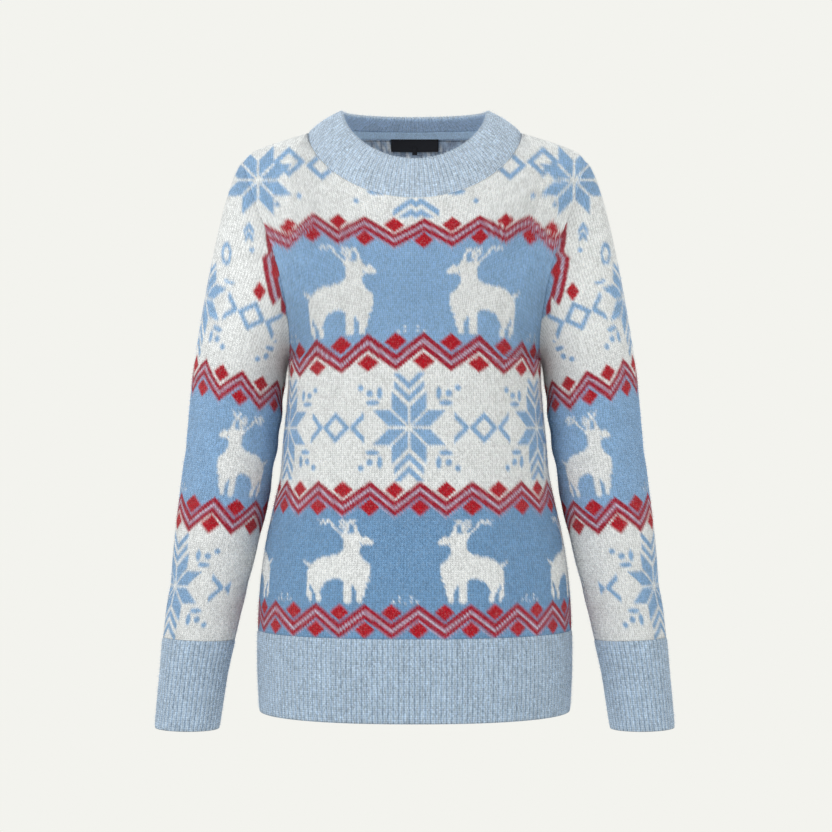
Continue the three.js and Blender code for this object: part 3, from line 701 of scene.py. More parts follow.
def make_mesh(name, places, faces, colours, stitches, material):
    """A mesh object from points in millimetres, arrays of faces, and a colour and a stitch place for
    each corner of each face."""
    mesh = bpy.data.meshes.new(name)
    corners = np.concatenate([part.ravel() for part in faces])
    sizes = np.concatenate([np.full(len(part), part.shape[1]) for part in faces])
    mesh.vertices.add(len(places))
    mesh.vertices.foreach_set("co", (places * MM).astype(np.float32).ravel())
    mesh.loops.add(len(corners))
    mesh.loops.foreach_set("vertex_index", corners.astype(np.int32))
    mesh.polygons.add(len(sizes))
    mesh.polygons.foreach_set("loop_start", np.concatenate([[0], np.cumsum(sizes)[:-1]]).astype(np.int32))
    mesh.polygons.foreach_set("use_smooth", np.ones(len(sizes), bool))
    mesh.update(calc_edges=True)
    if colours is not None:
        layer = mesh.color_attributes.new("Yarn", "FLOAT_COLOR", "CORNER")
        opaque = np.concatenate([colours, np.ones((len(colours), 1))], axis=1)
        layer.data.foreach_set("color", opaque.astype(np.float32).ravel())
    if stitches is not None:
        layer = mesh.uv_layers.new(name="Stitch")
        layer.data.foreach_set("uv", stitches.astype(np.float32).ravel())
    mesh.validate()
    mesh.materials.append(material)
    made = bpy.data.objects.new(name, mesh)
    bpy.context.scene.collection.objects.link(made)
    return made


def grid_faces(rows, columns, closed, start=0):
    """Quads over a grid of points, as numbers of points, row by row."""
    index = np.arange(rows * columns).reshape(rows, columns) + start
    right = np.roll(index, -1, axis=1) if closed else index[:, 1:]
    left = index if closed else index[:, :-1]
    return np.stack([left[:-1], left[1:], right[1:], right[:-1]], axis=-1)


def stitch_corners(rows, columns, wide, tall):
    """The place in stitches of each corner of a grid's quads, in the order of grid_faces."""
    j, i = np.mgrid[0:rows, 0:columns]
    across = np.stack([i, i, i + 1, i + 1], axis=-1) * wide
    down = np.stack([j, j + 1, j + 1, j], axis=-1) * tall
    return np.stack([across, down], axis=-1).reshape(-1, 4, 2)


def faces_inwards(places, normals, row):
    """True where a grid's quads, in the order of grid_faces, turn away from its normals."""
    a, b, c = places[row, 0], places[row + 1, 0], places[row, 1]
    return np.dot(np.cross(b - a, c - a), normals[row, 0]) < 0


def rim(line, coarse, flip, wrap=False):
    """Five-sided faces between a fine edge and the edge under it, which has half as many points."""
    if wrap:
        line = np.append(line, line[0])
        coarse = np.append(coarse, coarse[0])
    faces = np.stack([line[0:-1:2], line[1::2], line[2::2], coarse[1:], coarse[:-1]], axis=-1)
    return faces[:, ::-1] if flip else faces


def make_wall(name, base, outer, normals, thickness, closed, paint, inner_paint, material, stitch=(0.5, 1)):
    """A closed wall: the outer points, an inner skin with every second row and column of the base
    points set in by the thickness along the normals, and rims round the edges."""
    rows, columns = outer.shape[:2]
    inner = (base - normals * thickness)[::2, ::2]
    inner_rows, inner_columns = inner.shape[:2]
    start = rows * columns
    skin = grid_faces(rows, columns, closed)
    lining = grid_faces(inner_rows, inner_columns, closed, start)[..., ::-1]
    fine = np.arange(start).reshape(rows, columns)
    coarse = np.arange(inner_rows * inner_columns).reshape(inner_rows, inner_columns) + start
    rims = [rim(fine[0], coarse[0], False, closed), rim(fine[-1], coarse[-1], True, closed)]
    if not closed:
        rims += [rim(fine[:, 0], coarse[:, 0], True), rim(fine[:, -1], coarse[:, -1], False)]
    faces = [skin.reshape(-1, 4), lining.reshape(-1, 4)] + rims
    wide, tall = stitch
    skin_stitches = stitch_corners(rows - 1, skin.shape[1], wide, tall)
    lining_stitches = stitch_corners(inner_rows - 1, lining.shape[1], 2 * wide, 2 * tall)[:, ::-1]
    if faces_inwards(outer, normals, rows // 2):
        faces = [part[:, ::-1] for part in faces]
        skin_stitches = skin_stitches[:, ::-1]
        lining_stitches = lining_stitches[:, ::-1]
    places = np.concatenate([outer.reshape(-1, 3), inner.reshape(-1, 3)])
    colours = np.concatenate([paint.reshape(-1, 3), inner_paint.reshape(-1, 3)])
    colours = colours[np.concatenate([part.ravel() for part in faces])]
    rim_stitches = np.full((sum(part.size for part in rims), 2), 0.25)
    stitches = [skin_stitches.reshape(-1, 2), lining_stitches.reshape(-1, 2), rim_stitches]
    return make_mesh(name, places, faces, colours, np.concatenate(stitches), material)


def sag(columns, rows):
    """How far down each point of a grid of V stitches is moved, in rows: half a stitch between wales."""
    down = np.zeros((rows, columns))
    down[1:-1, 1::2] = 0.5
    return down


def edge_dip(rows, columns, closed, pitch_rows, pitch_columns, top=False, bottom=False):
    """How far the cloth sinks at its seams, as a bell curve of the distance: at the sides, unless it is
    closed round a limb, and at the top and bottom where they are sewn."""
    j = np.arange(rows)[:, None] * pitch_rows
    i = np.arange(columns)[None, :] * pitch_columns
    dip = np.zeros((rows, columns))
    sewn = [j] * top + [j[-1] - j] * bottom + [i, i[0, -1] - i] * (not closed)
    for distance in sewn:
        dip = np.maximum(dip, np.exp(-((distance / SEAM_REACH) ** 2)))
    return -SEAM_DIP * dip


def zigzag(w, z, top, swing, lines, half_height):
    """A red zigzag of two lines with a paler one between, and diamonds in its hollows.

    A triangle wave of the place in wales, times the swing, is taken off the top. The height below it
    gives 1 for a line, 2 for the paler line, 0 above, 4 below and 5 just below. Diamonds give 3.
    """
    first, between, second = lines
    t = np.abs((w / ZIGZAG_WALES + 0.5) % 1 - 0.5) * 2
    below = top - z - swing * t
    total = first + between + second
    found = np.where(below > total, 4, 0)
    found = np.where((below > 0) & (below <= first), 1, found)
    found = np.where((below > first) & (below <= first + between), 2, found)
    found = np.where((below > first + between) & (below <= total), 1, found)
    found = np.where((below > total) & (below <= total + OUTLINE), 5, found)
    half = ZIGZAG_WALES * WALE / 2
    upper = ((1 - t) * half, top - half_height)
    lower = (t * half, top - swing - total + half_height)
    for aside, middle in (upper, lower):
        inside = aside / (half_height * DIAMOND_WIDTH) + np.abs(z - middle) / half_height < 1
        found = np.where(inside, 3, found)
    return found


def snowflake(dx, dz):
    """An eight-petalled star with chevrons above and below it, sprigs at its diagonals and dots.

    A petal is where the smaller of the two distances is below a limit and the larger is past it by
    less than another. It repeats on all eight sides, because the distances have no sign or order.
    """
    ax = np.abs(dx)
    az = np.abs(dz)
    low = np.minimum(ax, az)
    high = np.maximum(ax, az)
    star = (low > 1.2) & (low < 18) & (high - low > 1.6) & (high - low < 20)
    for foot in (29.5, 43):
        star |= (np.abs(az - foot - ax) < 3.7) & (ax < 15.5)
    for leaf_x, leaf_z, wide, tall in ((38, 26, 7, 2.8), (30.5, 36, 2.8, 6.5), (41, 36, 3.6, 3.6)):
        star |= ((ax - leaf_x) / wide) ** 2 + ((az - leaf_z) / tall) ** 2 < 1
    star |= np.hypot(ax - 50.5, az - 42) < 3.2
    return star


def hollow_diamond(dx, dz, width=13.0, height=13.0):
    """A thin band about the diamond |dx| / width + |dz| / height = 1."""
    return np.abs(np.abs(dx) / width + np.abs(dz) / height - 1) < 0.27


def diamond_chain(dx, dz):
    """A hollow diamond between two arrowheads that point at it."""
    ax = np.abs(dx)
    az = np.abs(dz)
    arrow = (np.abs(az - (ax - 19)) < 3.6) & (ax > 17) & (ax < 32)
    return hollow_diamond(dx, dz) | arrow


def star_row(s, z, middle, star_at, spacing, scale=1.0):
    """Snowflakes along a white band with a chain of diamonds between them, by length along the cloth."""
    to_star = (s - star_at + spacing / 2) % spacing - spacing / 2
    to_chain = (s - star_at) % spacing - spacing / 2
    dz = (z - middle) * scale
    return snowflake(to_star * scale, dz) | diamond_chain(to_chain * scale, dz)


def read_chart(picture, column, row):
    """A chart read between its stitches, so that its shapes come out smooth: true where it is set."""
    rows, columns = picture.shape
    padded = np.pad(picture, 2).astype(float)
    x = np.clip(column + 1.5, 0, columns + 2.999)
    y = np.clip(row + 1.5, 0, rows + 2.999)
    i = x.astype(int)
    j = y.astype(int)
    a = mix(padded[j, i], padded[j, i + 1], x - i)
    b = mix(padded[j + 1, i], padded[j + 1, i + 1], x - i)
    return mix(a, b, y - j) > CHART_EDGE


def reindeer_row(w, z, top, spacing, course):
    """White reindeer along a band, facing each other in pairs, with snow on the ground between."""
    picture = chart(REINDEER)
    number = np.floor(w / spacing).astype(int)
    column = w - number * spacing - spacing / 2
    column = np.where(number % 2 == 1, column, -column) + picture.shape[1] / 2
    row = (top - z) / course
    found = read_chart(picture, column, row)
    snow = chart(SPRIGS)
    column = (w + spacing / 2) % spacing - spacing / 2 + snow.shape[1] / 2
    return found | read_chart(snow, column, row - picture.shape[0] + snow.shape[0])


def in_view(places):
    """Where points show in the front view, in its pixels to the right of its centre and down from it."""
    scale = VIEW_FOCAL / (VIEW_DISTANCE + places[..., 1])
    return (places[..., 0] - VIEW_X) * scale, (VIEW_Z - places[..., 2]) * scale


def shoulder_motif(u, v, y):
    """The big snowflake over the shoulder seam, the small diamonds, dots and leaves of the yoke, and
    the chevrons under the neck, by their places in the front view."""
    u = -np.abs(u)
    ax = np.abs((u - SHOULDER_STAR[0]) * VIEW_PIXEL)
    az = np.abs((SHOULDER_STAR[1] - v) * VIEW_PIXEL)
    low, high = np.minimum(ax, az), np.maximum(ax, az)
    found = (low > 1.2) & (low < 17) & (high - low > 1.7) & (high - low < 20)
    found &= np.abs(y - SHOULDER_TOP) > STAR_GAP
    for middle_u, middle_v in YOKE_DIAMONDS:
        found |= hollow_diamond(u - middle_u, v - middle_v, 13, 12)
    for apex_u, apex_v, reach, slope in YOKE_CHEVRONS:
        drop = v - apex_v - np.abs(u - apex_u) * slope
        found |= (np.abs(drop - 1) < 3.2) & (np.abs(u - apex_u) < reach)
    for dot_u, dot_v in YOKE_DOTS:
        found |= np.hypot(u - dot_u, v - dot_v) < 2.6
    for leaf_u, leaf_v, half_width, half_height, hollow in YOKE_LEAVES:
        leaf = ((u - leaf_u) / half_width) ** 2 + ((v - leaf_v) / half_height) ** 2
        found |= (leaf < 1) & (leaf > hollow)
    return found


def paint_between(colour, here, pale):
    """Colours the line between two red ones: pale stitches and lilac ones by turns."""
    colour[here & pale] = linear(PALE_LINE)
    colour[here & ~pale] = linear(BRICK) * 0.35 + linear(LILAC) * 0.65


def paint_zigzag(colour, here, w, z, wale_row, band):
    """Colours a zigzag band, its outlines and its diamonds."""
    top, swing, lines, half_height, above, below = band
    found = zigzag(w, z, top, swing, lines, half_height)
    for mark, yarn in ((0, above), (1, BRICK), (3, RED), (4, below), (5, below)):
        colour[here & (found == mark)] = linear(yarn)
    pale = wale_row % 2 == 0
    if below != WHITE:
        colour[here & (found == 5) & pale] = linear(LILAC)
    paint_between(colour, here & (found == 2), pale)


def arc_of(u_values, z):
    """How far round the front the cloth of the body reaches at places in the front view, at a height."""
    side = np.linspace(-1, 1, 1601)
    neck_z = NECK_SEAM[4]
    if z > UNDERARM_Z:
        row = (neck_z - z) / (neck_z - UNDERARM_Z)
    else:
        row = 1 + (UNDERARM_Z - z) / (UNDERARM_Z - HEM_SEAM_Z)
    line = panel_point(side, np.full_like(side, row), -1)
    length = np.concatenate([[0], np.cumsum(np.hypot(*np.diff(line[:, :2], axis=0).T))])
    length -= length[len(side) // 2]
    u, _ = in_view(line)
    return np.interp(u_values, u, length)


def spread_knots(s, knots, z):
    """The place in wales of each point, from knots given as places in the front view and in wales. Past
    the last knots the wales go on at an even pitch."""
    u, w = np.array(knots, float).T
    at = arc_of(u, z)
    inside = np.interp(s, at, w)
    return inside + np.minimum(s - at[0], 0) / KNOT_PITCH + np.maximum(s - at[-1], 0) / KNOT_PITCH


def paint_body(s, places, wale_row):
    """The yarn colour of each point of the body, by length along the cloth from the centre and height."""
    white, blue = linear(WHITE), linear(BLUE)
    z = places[..., 2]
    u, v = in_view(places)
    rise = np.interp(np.abs(u), *YOKE_RISE) * np.exp(-(((z - YOKE_FLOOR) / YOKE_SPREAD) ** 2))
    drop = np.interp(np.abs(u), *STARS_DROP) * np.exp(-(((z - STARS_TOP) / STARS_SPREAD) ** 2))
    z = z - rise + drop
    colour = np.broadcast_to(white, s.shape + (3,)).copy()
    colour[(z > YOKE_FLOOR) & shoulder_motif(u, v + rise * 0.5, places[..., 1])] = blue
    middle = (z <= STARS_TOP) & (z > STARS_FLOOR)
    colour[middle & star_row(s, z, *BODY_STARS)] = blue
    for top, bottom, deer_top, knots in BODY_DEER:
        here = (z <= top) & (z > bottom)
        w = spread_knots(s, knots, (top + bottom) / 2)
        colour[here] = linear(BLUE if top > STARS_TOP else LOW_SHADED_BLUE)
        colour[here & reindeer_row(w, z, deer_top, DEER_SPACING, COURSE)] = white
    for knots, deepest, band in BODY_ZIGZAGS:
        here = (z <= band[0]) & (z > deepest)
        w = spread_knots(s, knots, (band[0] + deepest) / 2)
        paint_zigzag(colour, here, w, z, wale_row, band)
    return colour


def soft_edges(paint):
    """The mean colour round each point, as loose fibres blur the edge between two yarns. The paint is
    asked for places moved sideways and up by a small step."""
    steps = ((0, 0), (YARN_BLUR, 0), (-YARN_BLUR, 0), (0, YARN_BLUR), (0, -YARN_BLUR))
    return sum(paint(aside, up) for aside, up in steps) / len(steps)


def armhole_patch(colour, u, v, front, wale_row):
    """The piece of the blue band, edged with its zigzag, on the front of the sleeve by the armhole."""
    u = -np.abs(u)
    corner_u, corner_v = PATCH_CORNER
    slope = np.where(u < PATCH_TURN, *PATCH_SLOPES)
    floor = corner_v + (u - corner_u) * slope
    depth = np.where((v < PATCH_TOP) | (v > floor) | ~front, -1, u - np.interp(v, *PATCH_EDGE))
    colour[depth > 0] = linear(BRICK)
    paint_between(colour, (depth > PATCH_PALE[0]) & (depth < PATCH_PALE[1]), wale_row % 2 == 0)
    colour[depth > PATCH_GROUND] = linear(BLUE)
    for middle_u, middle_v, width, height in PATCH_DIAMONDS:
        diamond = np.abs(u - middle_u) / width + np.abs(v - middle_v) / height < 1
        colour[diamond & front] = linear(RED)


def paint_sleeve(angle, places, wale_row):
    """The yarn colour of each point of a sleeve, by its angle round the arm and its height."""
    white, blue = linear(WHITE), linear(BLUE)
    u, v = in_view(places)
    degrees = np.degrees(angle)
    height = places[..., 2]
    z = height + np.cos(angle) * np.interp(height, *ARM_RADIUS) * np.interp(height, *BAND_TILT)
    colour = np.broadcast_to(white, u.shape + (3,)).copy()
    colour[(height > YOKE_ON_SLEEVE) & shoulder_motif(u, v, places[..., 1])] = blue
    for low, high, middle, radius, star_angle, apart in SLEEVE_STARS:
        s = np.radians(degrees - star_angle) * radius
        here = (z > low) & (z <= high) & (degrees > STARS_FROM_ANGLE)
        here &= (z <= high - STAR_MARGIN) | (np.abs(s) < STAR_HALF_WIDTH)
        stars = star_row(s, z, middle, 0, np.radians(apart) * radius, SLEEVE_STAR_SCALE)
        colour[here & stars] = blue
    deer = SLEEVE_DEER
    here = (z <= deer["top"]) & (z > deer["floor"])
    w = np.radians(degrees - deer["angle"]) * deer["radius"] / deer["stitch"]
    spacing = deer["radius"] * np.pi / deer["stitch"]
    colour[here] = blue
    colour[here & reindeer_row(spacing / 2 - w, z, deer["antlers"], spacing, COURSE)] = white
    for peak, count, deepest, band in SLEEVE_ZIGZAGS:
        here = (z <= band[0]) & (z > deepest)
        paint_zigzag(colour, here, (degrees - peak) / 360 * count * ZIGZAG_WALES, z, wale_row, band)
    front = (degrees > SLEEVE_FRONT[0]) & (degrees < SLEEVE_FRONT[1])
    armhole_patch(colour, u, v, front, wale_row)
    return colour


def speckle(shape):
    """The wrong side of the cloth, where the floats of both yarns show."""
    share = rng.random(shape)[..., None]
    pale = np.where(share < BLUE_SHARE + WHITE_SHARE, linear(FLOAT_WHITE), linear(FLOAT_GREY))
    return np.where(share < BLUE_SHARE, linear(FLOAT_BLUE), pale)


def even_columns(rows, columns, face):
    """Where the columns of each row of a panel lie, evenly spaced along its cloth, and their lengths
    from the centre."""
    fine = np.linspace(0, 1, 401)
    share, row = np.meshgrid(fine, rows)
    line = panel_point(share, row, face)
    step = np.hypot(*np.moveaxis(np.diff(line[..., :2], axis=1), -1, 0))
    length = np.concatenate([np.zeros((len(rows), 1)), np.cumsum(step, axis=1)], axis=1)
    goal = np.linspace(0, 1, columns // 2 + 1)
    half = np.array([np.interp(goal * one[-1], one, fine) for one in length])
    arc = goal * length[:, -1:]
    return np.hstack([-half[:, :0:-1], half]), np.hstack([-arc[:, :0:-1], arc])


def make_stitched(name, surface, rows, columns, closed, paint, material):
    """A patterned wall of V stitches: every second column of points hangs half a stitch lower and
    stands out further than the ones beside it, so that each stitch is two slanting quads.

    The surface gives points for a grid of rows, and paint gives colours for points moved a little.
    """
    count = len(rows)
    row_grid = rows[:, None] * np.ones((1, columns))
    base = surface(row_grid)
    outer = surface(np.clip(row_grid + sag(columns, count) * np.gradient(rows)[:, None], 0, 2))
    normals = surface_normals(outer, closed)
    base_normals = surface_normals(base, closed)
    raised = np.where(np.arange(columns) % 2 == 1, STITCH_RISE, -STITCH_RISE)[None, :]
    dip = edge_dip(count, columns, closed, COURSE, WALE / 2, top=closed)
    outer = outer + normals * (raised + dip)[..., None]
    wale_row = np.arange(columns)[None, :] // 2 + np.arange(count)[:, None]
    colours = soft_edges(lambda aside, up: paint(aside, outer + np.array([aside, 0, up]), wale_row))
    inner_colours = speckle(((count + 1) // 2, (columns + 1) // 2))
    wall = make_wall(name, base, outer, base_normals, KNIT, closed, colours, inner_colours, material)
    return wall, outer, normals, colours


def courses(upper, lower):
    """The rows of a patterned piece, with its courses above and below row 1."""
    return np.concatenate([np.linspace(0, 1, upper + 1)[:-1], np.linspace(1, 2, lower + 1)])


def make_panel(face, name, material):
    """The front or back: a grid of V stitches, coloured by the body's bands."""
    rows = courses(ARMHOLE_COURSES, SIDE_COURSES)
    columns = 4 * HALF_WALES + 1
    side_grid, arc = even_columns(rows, columns, face)

    def surface(row_grid):
        return panel_point(side_grid, row_grid, face)

    def paint(aside, places, wale_row):
        return paint_body(arc + aside, places, wale_row)

    return make_stitched(name, surface, rows, columns, False, paint, material)


def make_sleeve(side, name, material):
    """A sleeve from the armhole to the cuff, coloured by the sleeve's bands."""
    rows = courses(CAP_COURSES, ARM_COURSES)
    columns = 2 * SLEEVE_WALES
    angle_grid = np.ones((len(rows), 1)) * (np.arange(columns) / columns * 2 * np.pi)

    def surface(row_grid):
        return sleeve_point(angle_grid, row_grid, side)

    def paint(aside, places, wale_row):
        return paint_sleeve(angle_grid + aside / BLUR_RADIUS, places, wale_row)

    return make_stitched(name, surface, rows, columns, True, paint, material)


def rib_relief(u):
    """The height of a rib, from 0 to 1, for a place measured in ribs: a round top and a narrow groove."""
    return np.abs(np.sin(np.pi * u)) ** 0.55


def rib_rise(u, down):
    """How far ribs rise from a piece, by the way along in ribs and the way down from its seam."""
    fade = smoothstep(down, 0, RIB_FADE)[:, None]
    return RIB_HEIGHT * rib_relief(u)[None, :] * fade - RIB_FOOT * (1 - fade)


def rib_shade(u):
    """Painted shade and highlight: how much darker and bluer the yarn is painted in the grooves between
    ribs, and a little lighter on their tops.
    """
    return mix(np.array([0.68, 0.76, 0.86]), np.array([1.06, 1.04, 1.02]), rib_relief(u)[..., None])[None]


def melange(shape, yarn):
    """One yarn's colour with the paler and darker hairs in it, stitch by stitch."""
    return linear(yarn) * rng.normal(1, MELANGE_SPREAD, shape)[..., None].clip(0.7, 1.35)


def make_ribbed(name, base, down, closed, per_rib, material):
    """A ribbed wall on base points, whose ribs rise with the way down from its seam."""
    count, columns = base.shape[:2]
    normals = surface_normals(base, closed)
    u = np.arange(columns) / per_rib
    dip = edge_dip(count, columns, closed, RIB_COURSE, RIB_PERIOD / per_rib, bottom=True)
    outer = base + normals * (rib_rise(u, down) + dip)[..., None]
    # The ribs' grooves get painted shade and their tops a painted highlight
    colours = melange((count, columns), RIB_BLUE) * rib_shade(u)
    inner_colours = melange(((count + 1) // 2, (columns + 1) // 2), RIB_INSIDE)
    stitch = (2 / per_rib, RIB_STITCH)
    wall = make_wall(
        name, base, outer, normals, RIB_KNIT, closed, colours, inner_colours, material, stitch)
    return wall, outer, normals, colours


def rib_rows(seam_z, edge_z, piece_above, count):
    """Rows from just above row 2, where a rib piece goes under its seam, to its edge at row 3, and how
    far down each lies."""
    rows = np.linspace(2 - SEAM_TUCK / piece_above, 3, count + 1)
    return rows, (rows - rows[0]) * (seam_z - edge_z)


def make_hem(face, name, material, ribs=88, per_rib=6, rib_courses=28):
    """Half of the ribbed hem."""
    columns = ribs * per_rib + 1
    rows, down = rib_rows(HEM_SEAM_Z, HEM_EDGE_Z, UNDERARM_Z - HEM_SEAM_Z, rib_courses)
    side_grid, _ = even_columns(rows, columns, face)
    base = panel_point(side_grid, rows[:, None] * np.ones((1, columns)), face)
    return make_ribbed(name, base, down, False, per_rib, material)


def make_cuff(side, name, material, ribs=44, per_rib=6, rib_courses=30):
    """A ribbed cuff."""
    columns = ribs * per_rib
    rows, down = rib_rows(CUFF_SEAM_Z, CUFF_EDGE_Z, BICEPS_Z - CUFF_SEAM_Z, rib_courses)
    angle_grid, row_grid = np.meshgrid(np.arange(columns) / columns * 2 * np.pi, rows)
    base = sleeve_point(angle_grid, row_grid, side)
    return make_ribbed(name, base, down, True, per_rib, material)


def band_point(angle, height):
    """A point of the band's outer face, the height being 0 at the seam and 1 at the fold.

    It lies on the line from the seam to the fold, swollen outwards by a parabola of the height.
    """
    seam = neck_loop(NECK_SEAM, angle)
    top = neck_loop(NECK_TOP, angle)
    outward = unit(point(np.sin(angle), -np.cos(angle), BAND_LEAN))
    return mix(seam, top, height[..., None]) + outward * (BAND_BULGE * 4 * height * (1 - height))[..., None]


def band_frame(angle, height):
    """The outer points of the band, its normals and the way up along it."""
    place = band_point(angle, height)
    ahead = band_point(angle + 0.01, height) - band_point(angle - 0.01, height)
    up = unit(band_point(angle, height + 0.01) - band_point(angle, height - 0.01))
    normal = unit(np.cross(ahead, up))
    outward = np.sum(normal * point(np.sin(angle), -np.cos(angle), 0), axis=-1, keepdims=True)
    return place, normal * np.sign(outward), up


def make_neckband(name, material, ribs=128, per_rib=5, rib_courses=14, turn_rows=6):
    """The doubled ribbed band: up the outer face, half a circle round the fold and down the inner face."""
    columns = ribs * per_rib
    angle = np.arange(columns) / columns * 2 * np.pi
    up_rows = np.linspace(-BAND_TUCK, BAND_FOLD, rib_courses + 1)
    down_rows = np.linspace(BAND_FOLD, 0, rib_courses + 1)
    heights = np.concatenate([up_rows, np.full(turn_rows - 1, BAND_FOLD), down_rows])
    fold_turn = np.linspace(0, np.pi, turn_rows + 1)[1:-1]
    turn = np.concatenate([np.zeros(len(up_rows)), fold_turn, np.full(len(down_rows), np.pi)])
    angle_grid, height_grid = np.meshgrid(angle, heights)
    place, normal, up = band_frame(angle_grid, height_grid)
    centre = place - normal * BAND / 2
    about = turn[:, None, None]
    outwards = normal * np.cos(about) + up * np.sin(about)
    foot = smoothstep(height_grid, *BAND_FOOT)
    relief = rib_relief(angle_grid / (2 * np.pi) * ribs)
    relief = RIB_HEIGHT * (relief - 0.5) * foot - 0.5 * (1 - foot)
    places = centre + outwards * (BAND / 2 + relief)[..., None]
    faces = grid_faces(len(heights), columns, True).reshape(-1, 4)
    stitches = stitch_corners(len(heights) - 1, columns, 2 / per_rib, RIB_STITCH)
    if faces_inwards(places, outwards, 2):
        faces = faces[:, ::-1]
        stitches = stitches[:, ::-1]
    colours = melange((len(heights), columns), BAND_BLUE)
    inside = (turn[:, None] > 2) & np.ones((1, columns), bool)
    colours[inside] = melange((int(inside.sum()),), BAND_INSIDE)
    # Painted shade in the grooves between the ribs and a painted highlight on their tops, weaker than on the
    # other ribs
    colours *= rib_shade(np.arange(columns) / per_rib) ** 0.6
    paint = colours.reshape(-1, 3)[faces.ravel()]
    wall = make_mesh(name, places.reshape(-1, 3), [faces], paint, stitches.reshape(-1, 2), material)
    return wall, places, outwards, colours


def make_patch(name, places, through, colour, material):
    """A small closed piece from its front grid and the way through it to its back."""
    rows, columns = places.shape[:2]
    start = rows * columns
    front_faces = grid_faces(rows, columns, False)
    back_faces = grid_faces(rows, columns, False, start)[..., ::-1]
    index = np.arange(start).reshape(rows, columns)
    loop = np.concatenate([index[0], index[1:, -1], index[-1, -2::-1], index[-2:0:-1, 0]])
    following = np.roll(loop, -1)
    sides = np.stack([loop, following, following + start, loop + start], axis=-1)
    faces = [front_faces.reshape(-1, 4), back_faces.reshape(-1, 4), sides]
    facing = np.cross(places[1, 0] - places[0, 0], places[0, 1] - places[0, 0])
    if np.dot(facing, through.reshape(-1, 3)[0]) > 0:
        faces = [part[:, ::-1] for part in faces]
    all_places = np.concatenate([places.reshape(-1, 3), (places + through).reshape(-1, 3)])
    corner_places = all_places[np.concatenate([part.ravel() for part in faces])]
    colours = np.broadcast_to(linear(colour), corner_places.shape)
    return make_mesh(name, all_places, faces, colours, corner_places[:, [0, 2]], material)


def make_tape(name, material, columns=240, rows=8):
    """The narrow lighter strip that covers the seam inside the back of the neck."""
    angle = np.pi * (1 + np.linspace(-TAPE["reach"], TAPE["reach"], columns + 1))
    height = np.linspace(TAPE["low"], TAPE["high"], rows + 1)
    angle_grid, height_grid = np.meshgrid(angle, height)
    place, normal, _ = band_frame(angle_grid, height_grid)
    relief = TAPE["relief"] * rib_relief(angle_grid * TAPE["ribs"])
    front = place - normal * (BAND + TAPE["clear"] + relief)[..., None]
    return make_patch(name, front, normal * TAPE_THICKNESS, TAPE_BLUE, material)


def make_label(name, size, material, rows=8):
    """A small woven piece on the ellipse at the back of the neck. It curls away from it downwards, with
    the square of the way down, and more in its middle."""
    half_width = size["width"] / 2
    across = np.linspace(-half_width, half_width, size["columns"] + 1)
    x, down = np.meshgrid(across, np.linspace(0, 1, rows + 1))
    y = LABEL_CURVE["depth"] * np.sqrt(1 - (x / LABEL_CURVE["half_width"]) ** 2) + size["out"]
    y = y - size["curl"] * down**2 * (1 + 0.5 * np.cos(x / size["width"] * 5))
    z = size["top"] - down * size["height"]
    return make_patch(name, point(x, y, z), np.array([0.0, size["thickness"], 0.0]), LABEL_BLACK, material)


class Socket:
    """A node socket that takes part in arithmetic."""

    def __init__(self, tree, socket):
        self.tree = tree
        self.socket = socket

    def maths(self, operation, *others):
        """A Math node on this socket and others, or numbers."""
        node = self.tree.nodes.new("ShaderNodeMath")
        node.operation = operation
        for k, value in enumerate((self,) + others):
            if isinstance(value, Socket):
                self.tree.links.new(value.socket, node.inputs[k])
            else:
                node.inputs[k].default_value = value
        return Socket(self.tree, node.outputs[0])

    def __add__(self, other):
        return self.maths("ADD", other)

    def __mul__(self, other):
        return self.maths("MULTIPLY", other)

    def __sub__(self, other):
        return self.maths("SUBTRACT", other)

    def __rsub__(self, other):
        return (self * -1) + other

    __radd__ = __add__
    __rmul__ = __mul__


class Shader:
    """A material whose nodes are added one by one."""

    def __init__(self, name):
        self.material = bpy.data.materials.new(name)
        self.material.use_nodes = True
        self.tree = self.material.node_tree
        self.surface = self.tree.nodes["Principled BSDF"]

    def node(self, kind, settings=None, inputs=None):
        """A new node; inputs are numbers, colours or sockets by name."""
        made = self.tree.nodes.new(kind)
        for key, value in (settings or {}).items():
            setattr(made, key, value)
        for key, value in (inputs or {}).items():
            self.join(value, made.inputs[key])
        return made

    def join(self, value, socket):
        """Links a socket, or sets a number or a colour."""
        if isinstance(value, Socket):
            self.tree.links.new(value.socket, socket)
        elif isinstance(value, bpy.types.NodeSocket):
            self.tree.links.new(value, socket)
        else:
            socket.default_value = value

    def read(self, node, output):
        """A node's output, to work with."""
        return Socket(self.tree, node.outputs[output])

    def noise(self, scale, detail=2.0):
        """Soft noise fixed to the object, at a scale in waves a metre."""
        place = self.node("ShaderNodeTexCoord").outputs["Object"]
        made = self.node("ShaderNodeTexNoise", inputs={"Vector": place, "Scale": scale, "Detail": detail})
        return self.read(made, 0)

    def scale(self, colour, factor):
        """A colour made lighter or darker."""
        inputs = {"Vector": colour, "Scale": factor}
        return self.node("ShaderNodeVectorMath", {"operation": "SCALE"}, inputs).outputs[0]

    def blend(self, share, a, b):
        """A mix of two colours."""
        made = self.node("ShaderNodeMix", {"data_type": "RGBA"})
        for value, number in ((share, 0), (a, 6), (b, 7)):
            self.join(value, made.inputs[number])
        return made.outputs[2]

    def set(self, **values):
        """Values or sockets for the surface's inputs, with spaces written as underscores."""
        for key, value in values.items():
            self.join(value, self.surface.inputs[key.replace("_", " ")])


